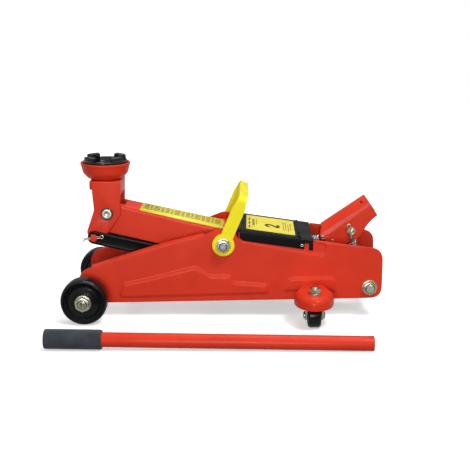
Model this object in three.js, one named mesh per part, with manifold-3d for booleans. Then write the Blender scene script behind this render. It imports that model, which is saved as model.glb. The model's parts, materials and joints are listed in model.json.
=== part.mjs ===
// Two-tonne hydraulic trolley jack with its lever laid beside it.
// Millimetres, +Z up. The saddle end points to -X, the lever socket to +X.
// Sizes are set out from the frame's own datum: X from a line 15 mm behind the arm pivot,
// Y from the centre plane, Z from the floor. The last lines move the origin under the whole object.
import * as THREE from 'three';
import { mergeVertices } from 'three/addons/utils/BufferGeometryUtils.js';
import Module from 'manifold-3d';

const wasm = await Module();
wasm.setup();

// ---------------------------------------------------------------- driving dimensions
const GAP = 0.3;                    // seat between two pieces that touch
const RUNNING = 0.35;               // radial play of a pin or axle in its hole

// side plates
const FRAME_OUTER = 55.5;           // outer face of a side plate, from the centre plane
const PLATE = 3.5;                  // sheet thickness
const FRAME_INNER = FRAME_OUTER - PLATE;
const FRONT_X = -216;
const REAR_X = 204;
const BOTTOM_FRONT_Z = 20;          // the lower edge rises a little towards the rear
const BOTTOM_REAR_Z = 29.5;
const FRONT_TOP_Z = 72;
const REAR_TOP_Z = 101;
const REAR_CORNER = 17;
const LIP_WIDTH = 13;               // flange turned in along the sloping front edge
const PANEL_RAISE = 2.2;            // pressed-out panels of a side plate
const PANEL_SLOPE = 3.5;            // width of their sloping borders
const JOGGLE = 2;                   // step that lets the cover lie flush
const JOGGLE_FALL = 6.5;            // its lower border falls this much more than the cover's edge

const EDGE_STEPS = 8;               // straight pieces along the front slope
const TIE_X = -140;                 // flat bar that ties the plates together in front
const TIE_WIDTH = 25;
const TIE_Z = 22;

// arm and its parallel rods
const PIVOT_X = -15;
const PIVOT_Z = 105;
const ARM_LENGTH = 167;             // main pivot to head pin
const ARM_ANGLE = THREE.MathUtils.degToRad(12.5);
const ARM_TOP = 16.5;               // top face above the line through both pins
const ARM_BOTTOM = 26.5;            // lower edges below that line
const ARM_HALF_FRONT = 21.5;
const ARM_HALF_REAR = 27;
const ARM_SHEET = 4;
const ROD_DROP_X = 18.5;            // rod pins lie this far in front of the arm's pins
const ROD_DROP_Z = 33;              // and this far below them
const ROD_INNER = 29;
const ROD_THICK = 4;
const ROD_HEIGHT = 18;
const HEEL_LENGTH = 44;             // main pivot to the roller that the ram pushes
const HEEL_LEAN = THREE.MathUtils.degToRad(3.5);
const HEEL_ROLLER = 9;
const HEEL_INNER = 14;
const SHAFT_RADIUS = 8;
const HUMP_RADIUS = 22;
const SLEEVE_RADIUS = 14;
const PIVOT_THREAD = 5;
const HEEL_PIN = 5;
const ARM_NOSE = 15;                // channel in front of the head pin
const ARM_TAIL = 19;                // channel behind the main pivot
const ARM_MOUTH = 21.5;             // top face stops this far behind the head pin
const ROD_STUD = 6;

// head and saddle
const HEAD_INNER = 24.2;
const HEAD_SHEET = 4;
const HEAD_TOP = 46;                // top plate above the head pin
const BOWL_SHIFT = -4;              // bowl axis in front of the head pin
const BOWL_RIM = 34.6;
const BOWL_FOOT = 19;
const BOWL_HEIGHT = 23.5;
const BOWL_WALL = 2.6;
const SADDLE_LUG_TOP = 12;          // lugs above the saddle's floor
const HEAD_PIN_RADIUS = 7;
const ROD_PIN_RADIUS = 5;
const POST_RADIUS = 5.6;            // swivel post under the saddle
const SADDLE_FLOOR = 66;            // above the head pin
const SADDLE_RIM = 30.6;
const LUG_SPREAD = 40;              // degrees of rim under each lug

// wheels
const WHEEL_RADIUS = 32;
const WHEEL_WIDTH = 25;
const AXLE_X = FRONT_X + 11.5;
const AXLE_RADIUS = 7;
const WHEEL_INNER = 69;             // inner face of a front wheel, from the centre plane
const WHEEL_THREAD = 5.5;
const CASTER_X = 108.6;
const CASTER_RADIUS = 17;
const CASTER_WIDTH = 18;
const CASTER_TRAIL = 7;
const PAN_TOP = 49;
const PAN_RIM = 31;
const PAN_HALF_OUTER = 27;
const PAN_HALF_INNER = 19;
const PAN_REACH = 124;
const CASTER_Y = PAN_REACH - 23;
const PAN_WAIST = FRAME_OUTER + 28.5; // where the pan is widest
const PAN_DOME = 10;                // width of its rounded shoulder
const PAN_SHEET = 3;
const STUD_RADIUS = 5;
const RACE_BOTTOM = 41.5;           // lower edge of the ball race
const FORK_SHEET = 2.5;
const CASTER_AXLE = 3;
const AXLE_HEAD_Y = CASTER_WIDTH / 2 + 0.8 + FORK_SHEET + GAP;

// hydraulic unit
const CYLINDER_Z = 64;
const CYLINDER_RADIUS = 17;
const CYLINDER_FRONT = 34;
const BLOCK_FRONT = 104;
const PUMP_X = 164;
const BLOCK_REAR = PUMP_X + 12;
const BLOCK_HALF = 22;
const BLOCK_BOTTOM = 38;
const BLOCK_TOP = 79;
const LUG_INNER = 4.5;
const LUG_OUTER = 11;
const VALVE_Z = 69;
const VALVE_STEM = 4.5;
const RAM_SPARE = 24;               // ram short of the bottom of its bore
const RAM_RADIUS = 11;
const RAM_PAD = 14;
const RAM_PAD_THICK = 7;
const RAM_PLAY = 0.9;               // ram pad to heel roller
const REAR_BOLT_X = 187;
const REAR_BOLT_Z = 45;
const REAR_BOLT_RADIUS = 6;

// handle socket and pump
const SOCKET_PIVOT_X = 131;
const SOCKET_PIVOT_Z = 104;
const PUMP_PIN_Z = 114.5;
const PUMP_ROLLER = 7;
const PUMP_PLAY = 1.2;
const PLUNGER_RADIUS = 6;
const SOCKET_ANGLE = THREE.MathUtils.degToRad(34.7);
const SOCKET_HALF = 16;             // half width, and radius of the folded top
const SOCKET_SHEET = 4;
const LEVER_RADIUS = 9.6;
const LEVER_WALL = 1.8;
const SOCKET_BORE = LEVER_RADIUS + 0.6;
const SOCKET_PIN = 5;
const PUMP_PIN = 4;
const SOCKET_AXIS = 5;              // bore axis above the pivot, across the bore
const SOCKET_REACH = 76;            // pivot to the socket's mouth, along the bore
const SOCKET_TOP_START = 5.4;
const BARREL_GAP = 1.9;             // pump roller to the bore's barrel
const SETSCREW_X = SOCKET_REACH - 9; // set-screw hole, along the bore
const SETSCREW_RADIUS = 2.2;

// carry handle
const STRAP_WIDTH = 17.5;
const STRAP_GRIP_WIDTH = 12.6;      // the strap narrows towards its level top
const STRAP_THICK = 4.6;
const STRAP_EYE = 15.4;
const STRAP_LEAN = THREE.MathUtils.degToRad(22.5);
const STRAP_KNEE = 54;              // along the leg, where it starts to narrow
const STRAP_TOP = 73;
const STRAP_BEND = 9;

// cover
const COVER_FRONT_X = 6;
const COVER_REAR_X = 108;
const COVER_FRONT_Z = 126;
const COVER_REAR_Z = 111.8;
const COVER_SHEET = 1.5;
const COVER_DROP = 15;

// lever
const LEVER_Y = -184;
const LEVER_GRIP_X = -240;
const LEVER_END_X = 179;
const GRIP_LENGTH = 74;
const GRIP_RADIUS = 12.8;

// ---------------------------------------------------------------- finishes
function finish(color, roughness, metalness) {
  return new THREE.MeshStandardMaterial({ color, roughness, metalness });
}
const redPaint = finish(0xcc3326, 0.35, 0.1);
const blackPaint = finish(0x1e2226, 0.4, 0.1);
const yellowPaint = finish(0xf2da18, 0.4, 0.05);
const zinc = finish(0xa9afa5, 0.35, 0.9);
const steel = finish(0x8d9296, 0.3, 0.95);
const castBlack = finish(0x15171b, 0.3, 0.3);
const hardRubber = finish(0x17181c, 0.65, 0);
const foam = finish(0x39414a, 0.95, 0);

// ---------------------------------------------------------------- geometry helpers
/** Weld a geometry's corners, drop its flat triangles and face it outwards. */
function tidy(geometry) {
  const bare = geometry.clone();
  bare.deleteAttribute('normal');
  bare.deleteAttribute('uv');
  const welded = mergeVertices(bare, 1e-4);
  const index = welded.index.array;
  const kept = [];
  for (let i = 0; i < index.length; i += 3) {
    const [a, b, c] = [index[i], index[i + 1], index[i + 2]];
    if (a !== b && b !== c && c !== a) kept.push(a, b, c);
  }
  const position = welded.getAttribute('position');
  const corner = [new THREE.Vector3(), new THREE.Vector3(), new THREE.Vector3()];
  let volume = 0;
  for (let i = 0; i < kept.length; i += 3) {
    corner.forEach((point, j) => point.fromBufferAttribute(position, kept[i + j]));
    volume += corner[0].dot(corner[1].cross(corner[2]));
  }
  welded.setIndex(volume < 0 ? kept.reverse() : kept);
  return welded;
}

/** A closed geometry as a solid for joining and cutting. */
function toSolid(geometry) {
  const closed = tidy(geometry);
  const mesh = new wasm.Mesh({
    numProp: 3,
    vertProperties: new Float32Array(closed.getAttribute('position').array),
    triVerts: new Uint32Array(closed.index.array),
  });
  return new wasm.Manifold(mesh);
}

/** A solid as a geometry again. */
function toGeometry(solid) {
  const mesh = solid.getMesh();
  const geometry = new THREE.BufferGeometry();
  geometry.setAttribute('position', new THREE.BufferAttribute(new Float32Array(mesh.vertProperties), 3));
  geometry.setIndex(Array.from(mesh.triVerts));
  return geometry;
}

/** Join the geometries of `bodies`, then cut those of `cuts` from them. */
function carve(bodies, cuts = []) {
  let solid = toSolid(bodies[0]);
  for (const body of bodies.slice(1)) solid = solid.add(toSolid(body));
  for (const cut of cuts) solid = solid.subtract(toSolid(cut));
  return toGeometry(solid);
}

/** Extrude a shape drawn in X and Z from y0 to y1. */
function slab(shape, y0, y1, curveSegments = 4) {
  const geometry = new THREE.ExtrudeGeometry(shape, { depth: y1 - y0, bevelEnabled: false, curveSegments });
  return geometry.rotateX(Math.PI / 2).translate(0, y1, 0);
}

/** Extrude a shape drawn in X and Y from z0 to z1. */
function layer(shape, z0, z1, curveSegments = 4) {
  const geometry = new THREE.ExtrudeGeometry(shape, { depth: z1 - z0, bevelEnabled: false, curveSegments });
  return geometry.translate(0, 0, z0);
}

/** Turn a profile of [radius, height] corners about an axis through the origin. */
function turned(profile, axis = 'y', segments = 16) {
  const points = profile.map(([radius, height]) => new THREE.Vector2(radius, height));
  const geometry = new THREE.LatheGeometry(points, segments);
  if (axis === 'z') geometry.rotateX(Math.PI / 2);
  if (axis === 'x') geometry.rotateZ(-Math.PI / 2);
  return geometry;
}

/** A plain round bar from h0 to h1 along an axis. */
function bar(radius, h0, h1, axis = 'y', segments = 14) {
  return turned([[0, h0], [radius, h0], [radius, h1], [0, h1]], axis, segments);
}

/** A plain tube or washer from h0 to h1 along an axis. */
function tube(outer, inner, h0, h1, axis = 'y', segments = 14) {
  const profile = [[inner, h0], [outer, h0], [outer, h1], [inner, h1], [inner, h0]];
  return turned(profile, axis, segments);
}

/** A box between two corners. */
function block(x0, y0, z0, x1, y1, z1) {
  const geometry = new THREE.BoxGeometry(x1 - x0, y1 - y0, z1 - z0);
  return geometry.translate((x0 + x1) / 2, (y0 + y1) / 2, (z0 + z1) / 2);
}

/** A hexagon nut from h0 to h1 along an axis, with a bore. */
function nut(acrossFlats, bore, h0, h1, axis = 'y') {
  const shape = new THREE.Shape();
  const corner = acrossFlats / Math.sqrt(3);
  for (let i = 0; i < 6; i += 1) {
    const turn = (i * Math.PI) / 3;
    const [x, z] = [corner * Math.cos(turn), corner * Math.sin(turn)];
    if (i === 0) shape.moveTo(x, z);
    else shape.lineTo(x, z);
  }
  shape.closePath();
  if (bore > 0) shape.holes.push(new THREE.Path().absarc(0, 0, bore, 0, Math.PI * 2, true));
  if (axis === 'z') return layer(shape, h0, h1, 6);
  return slab(shape, h0, h1, 6);
}

/** A hexagon nut on its washer, seated at `seat` and reaching outwards along an axis. */
function nutAndWasher(acrossFlats, bore, seat, axis = 'y') {
  const washer = bar(acrossFlats * 0.63, seat, seat + 1.8, axis, 12);
  const hexagon = nut(acrossFlats, 0, seat + 1.5, seat + 8.5, axis);
  return carve([washer, hexagon], [bar(bore, seat - 1, seat + 10, axis, 12)]);
}

/** Closed outline through corners [x, z, radius], each rounded by its own radius. */
function rounded(corners) {
  const shape = new THREE.Shape();
  const count = corners.length;
  corners.forEach(([x, z, radius = 0], i) => {
    const here = new THREE.Vector2(x, z);
    const before = new THREE.Vector2(...corners[(i + count - 1) % count]);
    const after = new THREE.Vector2(...corners[(i + 1) % count]);
    const toBefore = before.sub(here).normalize();
    const toAfter = after.sub(here).normalize();
    const half = Math.acos(THREE.MathUtils.clamp(toBefore.dot(toAfter), -1, 1)) / 2;
    const reach = radius / Math.tan(half);
    const start = here.clone().addScaledVector(toBefore, reach);
    const end = here.clone().addScaledVector(toAfter, reach);
    if (i === 0) shape.moveTo(start.x, start.y);
    else shape.lineTo(start.x, start.y);
    if (radius > 0) {
      const middle = toBefore.clone().add(toAfter).normalize();
      const centre = here.clone().addScaledVector(middle, radius / Math.sin(half));
      const from = Math.atan2(start.y - centre.y, start.x - centre.x);
      const to = Math.atan2(end.y - centre.y, end.x - centre.x);
      const clockwise = toBefore.x * toAfter.y - toBefore.y * toAfter.x > 0;
      shape.absarc(centre.x, centre.y, radius, from, to, clockwise);
    }
  });
  shape.closePath();
  return shape;
}

/** Outline round two circles and their outer tangents. */
function eyebar(x0, z0, radius0, x1, z1, radius1) {
  const aim = Math.atan2(z1 - z0, x1 - x0);
  const open = Math.acos((radius0 - radius1) / Math.hypot(x1 - x0, z1 - z0));
  const shape = new THREE.Shape();
  shape.absarc(x0, z0, radius0, aim + open, aim - open + Math.PI * 2, false);
  shape.absarc(x1, z1, radius1, aim - open, aim + open, false);
  shape.closePath();
  return shape;
}

/** Join equal rings of points, each a list of Vector3, into one closed solid with flat ends. */
function loft(rings, outline) {
  const points = rings.flat();
  const count = rings[0].length;
  const index = [];
  for (let r = 0; r + 1 < rings.length; r += 1) {
    for (let i = 0; i < count; i += 1) {
      const [a, b] = [r * count + i, r * count + ((i + 1) % count)];
      index.push(a, b, a + count, b, b + count, a + count);
    }
  }
  const caps = THREE.ShapeUtils.triangulateShape(outline, []);
  const last = (rings.length - 1) * count;
  for (const [a, b, c] of caps) index.push(a, c, b, last + a, last + b, last + c);
  const geometry = new THREE.BufferGeometry().setFromPoints(points);
  geometry.setIndex(index);
  return geometry;
}

/** Two arms of the same thing, one on each side: 'near' is -Y, 'far' is +Y. */
const SIDES = [['near', -1], ['far', 1]];

const jack = new THREE.Group();

/** Put one named piece in a group. */
function add(parent, name, geometry, material) {
  const mesh = new THREE.Mesh(tidy(geometry), material);
  mesh.name = name;
  parent.add(mesh);
  return mesh;
}

/** The same piece on both sides: drawn for +Y, mirrored for -Y. */
function addPair(parent, name, geometry, material) {
  for (const [side, sign] of SIDES) {
    add(parent, `${name}_${side}`, geometry.clone().scale(1, sign, 1), material);
  }
}

/** A group placed by a point in X and Z, turned about Y so that `turn` lifts the -X side. */
function station(x, z, turn = 0) {
  const group = new THREE.Group();
  group.position.set(x, 0, z);
  group.rotation.y = turn;
  jack.add(group);
  return group;
}

// ---------------------------------------------------------------- places worked out from the sizes
const HEAD_X = PIVOT_X - ARM_LENGTH * Math.cos(ARM_ANGLE);
const HEAD_Z = PIVOT_Z + ARM_LENGTH * Math.sin(ARM_ANGLE);
const ROD_REAR_X = PIVOT_X - ROD_DROP_X;
const ROD_REAR_Z = PIVOT_Z - ROD_DROP_Z;
const HEEL_X = PIVOT_X + HEEL_LENGTH * Math.sin(HEEL_LEAN);
const HEEL_REACH = HEEL_LENGTH * Math.sin(HEEL_LEAN + ARM_ANGLE);
const HEEL_DROP = HEEL_LENGTH * Math.cos(HEEL_LEAN + ARM_ANGLE);
const COVER_SLOPE = (COVER_REAR_Z - COVER_FRONT_Z) / (COVER_REAR_X - COVER_FRONT_X);
const coverTopAt = (x) => COVER_FRONT_Z + COVER_SLOPE * (x - COVER_FRONT_X);

// ---------------------------------------------------------------- side plates
/** Sloping front edge of a side plate, from the nose up to the hump. */
function frontEdge(drop) {
  const start = new THREE.Vector2(FRONT_X + 18, FRONT_TOP_Z - drop);
  const bend = new THREE.Vector2(PIVOT_X - 94, PIVOT_Z - 1.5 - drop);
  const end = new THREE.Vector2(PIVOT_X - 27, PIVOT_Z + 13.3 - drop);
  return new THREE.QuadraticBezierCurve(start, bend, end);
}

/** Outline of a side plate, with its holes. */
function plateOutline() {
  const shape = new THREE.Shape();
  const edge = frontEdge(0);
  const underCover = (x) => coverTopAt(x) - COVER_SHEET - 2;
  const humpRear = Math.acos((COVER_FRONT_X - PIVOT_X) / HUMP_RADIUS);
  const humpFront = Math.PI - Math.asin((edge.v2.y - PIVOT_Z) / HUMP_RADIUS) - 0.5;
  shape.moveTo(FRONT_X + 10, BOTTOM_FRONT_Z);
  shape.lineTo(REAR_X - REAR_CORNER, BOTTOM_REAR_Z);
  shape.quadraticCurveTo(REAR_X, BOTTOM_REAR_Z, REAR_X, BOTTOM_REAR_Z + REAR_CORNER);
  shape.lineTo(REAR_X, REAR_TOP_Z - REAR_CORNER - 1);
  shape.quadraticCurveTo(REAR_X, REAR_TOP_Z - 1.5, REAR_X - REAR_CORNER, REAR_TOP_Z);
  shape.lineTo(COVER_REAR_X + 1, coverTopAt(COVER_REAR_X) - 1);
  shape.lineTo(COVER_REAR_X + 1, underCover(COVER_REAR_X));
  shape.lineTo(COVER_FRONT_X, underCover(COVER_FRONT_X));
  shape.absarc(PIVOT_X, PIVOT_Z, HUMP_RADIUS, humpRear, humpFront, false);
  for (let i = 0; i <= EDGE_STEPS; i += 1) {
    const point = edge.getPoint(1 - i / EDGE_STEPS);
    shape.lineTo(point.x, point.y);
  }
  shape.quadraticCurveTo(FRONT_X, FRONT_TOP_Z - 6, FRONT_X, FRONT_TOP_Z - 22);
  shape.lineTo(FRONT_X, BOTTOM_FRONT_Z + 10);
  shape.quadraticCurveTo(FRONT_X, BOTTOM_FRONT_Z, FRONT_X + 10, BOTTOM_FRONT_Z);
  const holes = [
    [AXLE_X, WHEEL_RADIUS, AXLE_RADIUS],
    [PIVOT_X, PIVOT_Z, SHAFT_RADIUS],
    [REAR_BOLT_X, REAR_BOLT_Z, REAR_BOLT_RADIUS],
  ];
  for (const [x, z, radius] of holes) {
    shape.holes.push(new THREE.Path().absarc(x, z, radius + RUNNING, 0, Math.PI * 2, true));
  }
  return shape;
}

/** Area of a side plate that is stepped inwards under the cover, grown by `margin`. */
function joggleOutline(margin) {
  const front = COVER_FRONT_X - margin;
  const rear = COVER_REAR_X + 20 + margin;
  const depth = COVER_DROP + 2 + margin;
  const corner = 10;
  const low = (x) => coverTopAt(x) - depth - (JOGGLE_FALL * (x - front)) / (rear - front);
  const shape = new THREE.Shape();
  shape.moveTo(front, low(front) + 30);
  shape.lineTo(front, low(front) + corner / 2);
  shape.quadraticCurveTo(front, low(front), front + corner, low(front + corner));
  shape.lineTo(rear - corner, low(rear - corner));
  shape.quadraticCurveTo(rear, low(rear), rear, low(rear) + corner);
  shape.lineTo(rear, low(rear) + 30);
  shape.closePath();
  return shape;
}

/** Outline of the long panel pressed out of a side plate: a round nose, a peak below the pivot. */
function longPanel() {
  return rounded([
    [PIVOT_X - 148, BOTTOM_FRONT_Z + 8, 11], [PIVOT_X + 66, BOTTOM_REAR_Z + 5, 6],
    [PIVOT_X + 60, PIVOT_Z - 53, 9], [PIVOT_X + 4, PIVOT_Z - 51, 14],
    [PIVOT_X - 23, PIVOT_Z - 45, 8], [PIVOT_X - 39, PIVOT_Z - 30, 7],
    [PIVOT_X - 110, PIVOT_Z - 55, 22], [PIVOT_X - 135, PIVOT_Z - 50, 9],
  ]);
}

/** Outline of the arched panel pressed out above a caster bracket. */
function archPanel() {
  const half = PAN_HALF_OUTER + 7;
  return rounded([
    [CASTER_X - half - 8, PAN_TOP - 12, 5], [CASTER_X + half, PAN_TOP - 12, 5],
    [CASTER_X + half, PAN_TOP + 15, 12], [CASTER_X - half, PAN_TOP + 12, 12],
  ]);
}

/** Thin raised area with sloping borders, on the outer face of the +Y side plate. */
function pressing(outline) {
  const geometry = new THREE.ExtrudeGeometry(outline, {
    depth: 1,
    bevelThickness: PANEL_RAISE,
    bevelSize: PANEL_SLOPE,
    bevelOffset: -PANEL_SLOPE,
    bevelSegments: 1,
    curveSegments: 3,
  });
  return geometry.rotateX(Math.PI / 2).translate(0, FRAME_OUTER, 0);
}

/** The +Y side plate: sheet, lip turned in along the front slope, panels, and the step under the cover. */
function sidePlate() {
  const outline = plateOutline();
  const sheet = slab(outline, FRAME_INNER, FRAME_OUTER, 6);
  const upper = frontEdge(0).getPoints(EDGE_STEPS);
  const lower = frontEdge(PLATE).getPoints(EDGE_STEPS);
  const lipOutline = new THREE.Shape([...upper, ...lower.reverse()]);
  const lip = slab(lipOutline, FRAME_OUTER - LIP_WIDTH, FRAME_OUTER - 1);
  const backing = toSolid(slab(outline, FRAME_INNER - JOGGLE, FRAME_INNER + 0.5, 6));
  const backingArea = toSolid(slab(joggleOutline(JOGGLE), FRAME_INNER - 2 * JOGGLE, FRAME_OUTER));
  const step = toGeometry(backing.intersect(backingArea));
  const recess = slab(joggleOutline(0), FRAME_OUTER - JOGGLE, FRAME_OUTER + 1);
  const seatHalf = PAN_HALF_INNER + 2;
  const casterSeat = block(
    CASTER_X - seatHalf, FRAME_OUTER, PAN_RIM - 1, CASTER_X + seatHalf, FRAME_OUTER + 5, PAN_TOP + 1,
  );
  const panels = [pressing(longPanel()), pressing(archPanel())];
  return carve([sheet, lip, step, ...panels], [recess, casterSeat]);
}

function addFrame() {
  addPair(jack, 'side_plate', sidePlate(), redPaint);
  const [front, rear] = [TIE_X - TIE_WIDTH / 2, TIE_X + TIE_WIDTH / 2];
  const strip = block(front, -FRAME_INNER, TIE_Z, rear, FRAME_INNER, TIE_Z + PLATE);
  const turnUp = (y) => block(front, y, TIE_Z + 0.5, rear, y + PLATE, TIE_Z + TIE_WIDTH / 2);
  add(jack, 'front_tie', carve([strip, turnUp(-FRAME_INNER), turnUp(FRAME_INNER - PLATE)]), redPaint);
}

// ---------------------------------------------------------------- front wheels
/** Bolt with a hexagon head inside the frame, a thick shank for the wheel and a thin threaded end. */
function addFrontWheels() {
  const axleLine = station(AXLE_X, WHEEL_RADIUS);
  const outer = WHEEL_INNER + WHEEL_WIDTH;
  const shoulder = outer + GAP;
  const head = nut(19, 0, FRAME_INNER - 6.5, FRAME_INNER);
  const shank = turned([
    [0, FRAME_INNER - 1], [AXLE_RADIUS, FRAME_INNER - 1], [AXLE_RADIUS, FRAME_OUTER],
    [AXLE_RADIUS + 4.5, FRAME_OUTER], [AXLE_RADIUS + 4.5, WHEEL_INNER - GAP],
    [AXLE_RADIUS, WHEEL_INNER - GAP], [AXLE_RADIUS, shoulder], [WHEEL_THREAD, shoulder],
    [WHEEL_THREAD, shoulder + 10.5], [0, shoulder + 10.5],
  ]);
  addPair(axleLine, 'front_axle', carve([head, shank]), zinc);

  const bore = AXLE_RADIUS + RUNNING;
  const half = [
    [bore, 0], [13, 0], [14.5, 2], [25, 2], [27, 0.6], [29.8, 0.8], [WHEEL_RADIUS, 4],
  ];
  const profile = [...half, ...half.map(([r, y]) => [r, WHEEL_WIDTH - y]).reverse(), half[0]];
  const wheel = turned(profile, 'y', 28).translate(0, WHEEL_INNER, 0);
  addPair(axleLine, 'front_wheel', wheel, hardRubber);

  addPair(axleLine, 'wheel_nut', nutAndWasher(18, WHEEL_THREAD + GAP, shoulder), zinc);
}

// ---------------------------------------------------------------- casters
/** Plan of a caster bracket on the +Y side, grown by `margin`, reaching into the frame by `behind`. */
function panOutline(margin, behind) {
  const shape = new THREE.Shape();
  const length = PAN_REACH - PAN_WAIST + margin;
  const slant = (PAN_HALF_OUTER - PAN_HALF_INNER) / (PAN_WAIST - FRAME_OUTER);
  const root = PAN_HALF_INNER + margin - slant * behind;
  shape.absellipse(0, PAN_WAIST, PAN_HALF_OUTER + margin, length, 0, Math.PI);
  shape.lineTo(-root, FRAME_OUTER - behind);
  shape.lineTo(root, FRAME_OUTER - behind);
  shape.closePath();
  return shape;
}

/** A solid over a plan outline, level on top with a rounded shoulder of equal width and drop. */
function dome(outline, shoulder, bottom, top) {
  const geometry = new THREE.ExtrudeGeometry(outline, {
    depth: top - bottom,
    bevelThickness: shoulder,
    bevelSize: shoulder,
    bevelOffset: -shoulder,
    bevelSegments: 3,
    curveSegments: 8,
  });
  return geometry.translate(0, 0, bottom - shoulder);
}

function casterBracket() {
  const inside = panOutline(-PAN_SHEET, 2 * PAN_DOME);
  const outer = toSolid(dome(panOutline(0, 2 * PAN_DOME), PAN_DOME, PAN_RIM, PAN_TOP));
  const inner = toSolid(dome(inside, PAN_DOME / 2, PAN_RIM - 3, PAN_TOP - PAN_SHEET));
  const keep = toSolid(block(-60, FRAME_OUTER, PAN_RIM, 60, PAN_REACH + 5, PAN_TOP + 1));
  const hole = toSolid(bar(STUD_RADIUS + GAP, PAN_TOP - 10, PAN_TOP + 1, 'z').translate(0, CASTER_Y, 0));
  return toGeometry(outer.intersect(keep).subtract(inner).subtract(hole));
}

function casterFork() {
  const top = RACE_BOTTOM - GAP;
  const plate = tube(13, STUD_RADIUS + RUNNING, top - FORK_SHEET, top, 'z');
  const inner = CASTER_WIDTH / 2 + 0.8;
  const outline = eyebar(0, top - 9, 8.9, CASTER_TRAIL, CASTER_RADIUS, 7);
  const upper = block(-8.8, inner, top - 9, 8.8, inner + FORK_SHEET, top - 0.5);
  const cheek = slab(outline, inner, inner + FORK_SHEET, 3);
  const bodies = [plate];
  for (const sign of [-1, 1]) {
    bodies.push(upper.clone().scale(1, sign, 1), cheek.clone().scale(1, sign, 1));
  }
  const axleHole = bar(CASTER_AXLE + GAP, -30, 30).translate(CASTER_TRAIL, 0, CASTER_RADIUS);
  return carve(bodies, [axleHole]);
}

function addCasters() {
  const bracketPlace = station(CASTER_X, 0);
  addPair(bracketPlace, 'caster_bracket', casterBracket(), redPaint);
  const roof = PAN_TOP - PAN_SHEET;
  const forkTop = RACE_BOTTOM - GAP;
  for (const [side, sign] of SIDES) {
    const kingpin = new THREE.Group();
    kingpin.position.set(CASTER_X, sign * CASTER_Y, 0);
    jack.add(kingpin);
    const stud = turned([
      [0, forkTop - FORK_SHEET - 3.3], [9, forkTop - FORK_SHEET - 3.3],
      [9, forkTop - FORK_SHEET - GAP], [STUD_RADIUS, forkTop - FORK_SHEET - GAP],
      [STUD_RADIUS, PAN_TOP + 10], [0, PAN_TOP + 10],
    ], 'z');
    add(kingpin, `caster_stud_${side}`, stud, zinc);
    add(kingpin, `caster_nut_${side}`, nutAndWasher(14, STUD_RADIUS + GAP, PAN_TOP, 'z'), zinc);
    const race = turned([
      [STUD_RADIUS + RUNNING, RACE_BOTTOM], [11, RACE_BOTTOM], [13, RACE_BOTTOM + 1.5],
      [11.5, roof], [STUD_RADIUS + RUNNING, roof], [STUD_RADIUS + RUNNING, RACE_BOTTOM],
    ], 'z');
    add(kingpin, `caster_race_${side}`, race, zinc);

    const swivel = new THREE.Group();
    swivel.rotation.z = -sign * (Math.PI / 2);
    kingpin.add(swivel);
    add(swivel, `caster_fork_${side}`, casterFork(), zinc);
    const axle = turned([
      [0, -AXLE_HEAD_Y - 2.4], [5.2, -AXLE_HEAD_Y - 2.4], [5.2, -AXLE_HEAD_Y],
      [CASTER_AXLE, -AXLE_HEAD_Y], [CASTER_AXLE, AXLE_HEAD_Y], [5.2, AXLE_HEAD_Y],
      [5.2, AXLE_HEAD_Y + 2.4], [0, AXLE_HEAD_Y + 2.4],
    ], 'y', 12);
    add(swivel, `caster_axle_${side}`, axle.translate(CASTER_TRAIL, 0, CASTER_RADIUS), steel);
    const wide = CASTER_WIDTH / 2;
    const bore = CASTER_AXLE + RUNNING;
    const profile = [
      [bore, -wide - 0.5], [6.5, -wide - 0.5], [CASTER_RADIUS - 3, -wide], [CASTER_RADIUS, -wide + 3],
      [CASTER_RADIUS, wide - 3], [CASTER_RADIUS - 3, wide], [6.5, wide + 0.5], [bore, wide + 0.5],
      [bore, -wide - 0.5],
    ];
    const wheel = turned(profile, 'y', 20).translate(CASTER_TRAIL, 0, CASTER_RADIUS);
    add(swivel, `caster_wheel_${side}`, wheel, hardRubber);
  }
}

// ---------------------------------------------------------------- arm
/** Cross-section of the arm's folded channel at `x`, open below. */
function channelRing(x, half) {
  const bend = 6;
  const section = [];
  const arc = (cy, radius, from, to) => {
    for (let i = 0; i <= 3; i += 1) {
      const turn = from + ((to - from) * i) / 3;
      section.push([cy + radius * Math.cos(turn), ARM_TOP - bend + radius * Math.sin(turn)]);
    }
  };
  section.push([half, -ARM_BOTTOM]);
  arc(half - bend, bend, 0, Math.PI / 2);
  arc(-half + bend, bend, Math.PI / 2, Math.PI);
  section.push([-half, -ARM_BOTTOM], [-half + ARM_SHEET, -ARM_BOTTOM]);
  arc(-half + bend, bend - ARM_SHEET, Math.PI, Math.PI / 2);
  arc(half - bend, bend - ARM_SHEET, Math.PI / 2, 0);
  section.push([half - ARM_SHEET, -ARM_BOTTOM]);
  return section.map(([y, z]) => new THREE.Vector3(x, y, z));
}

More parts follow.
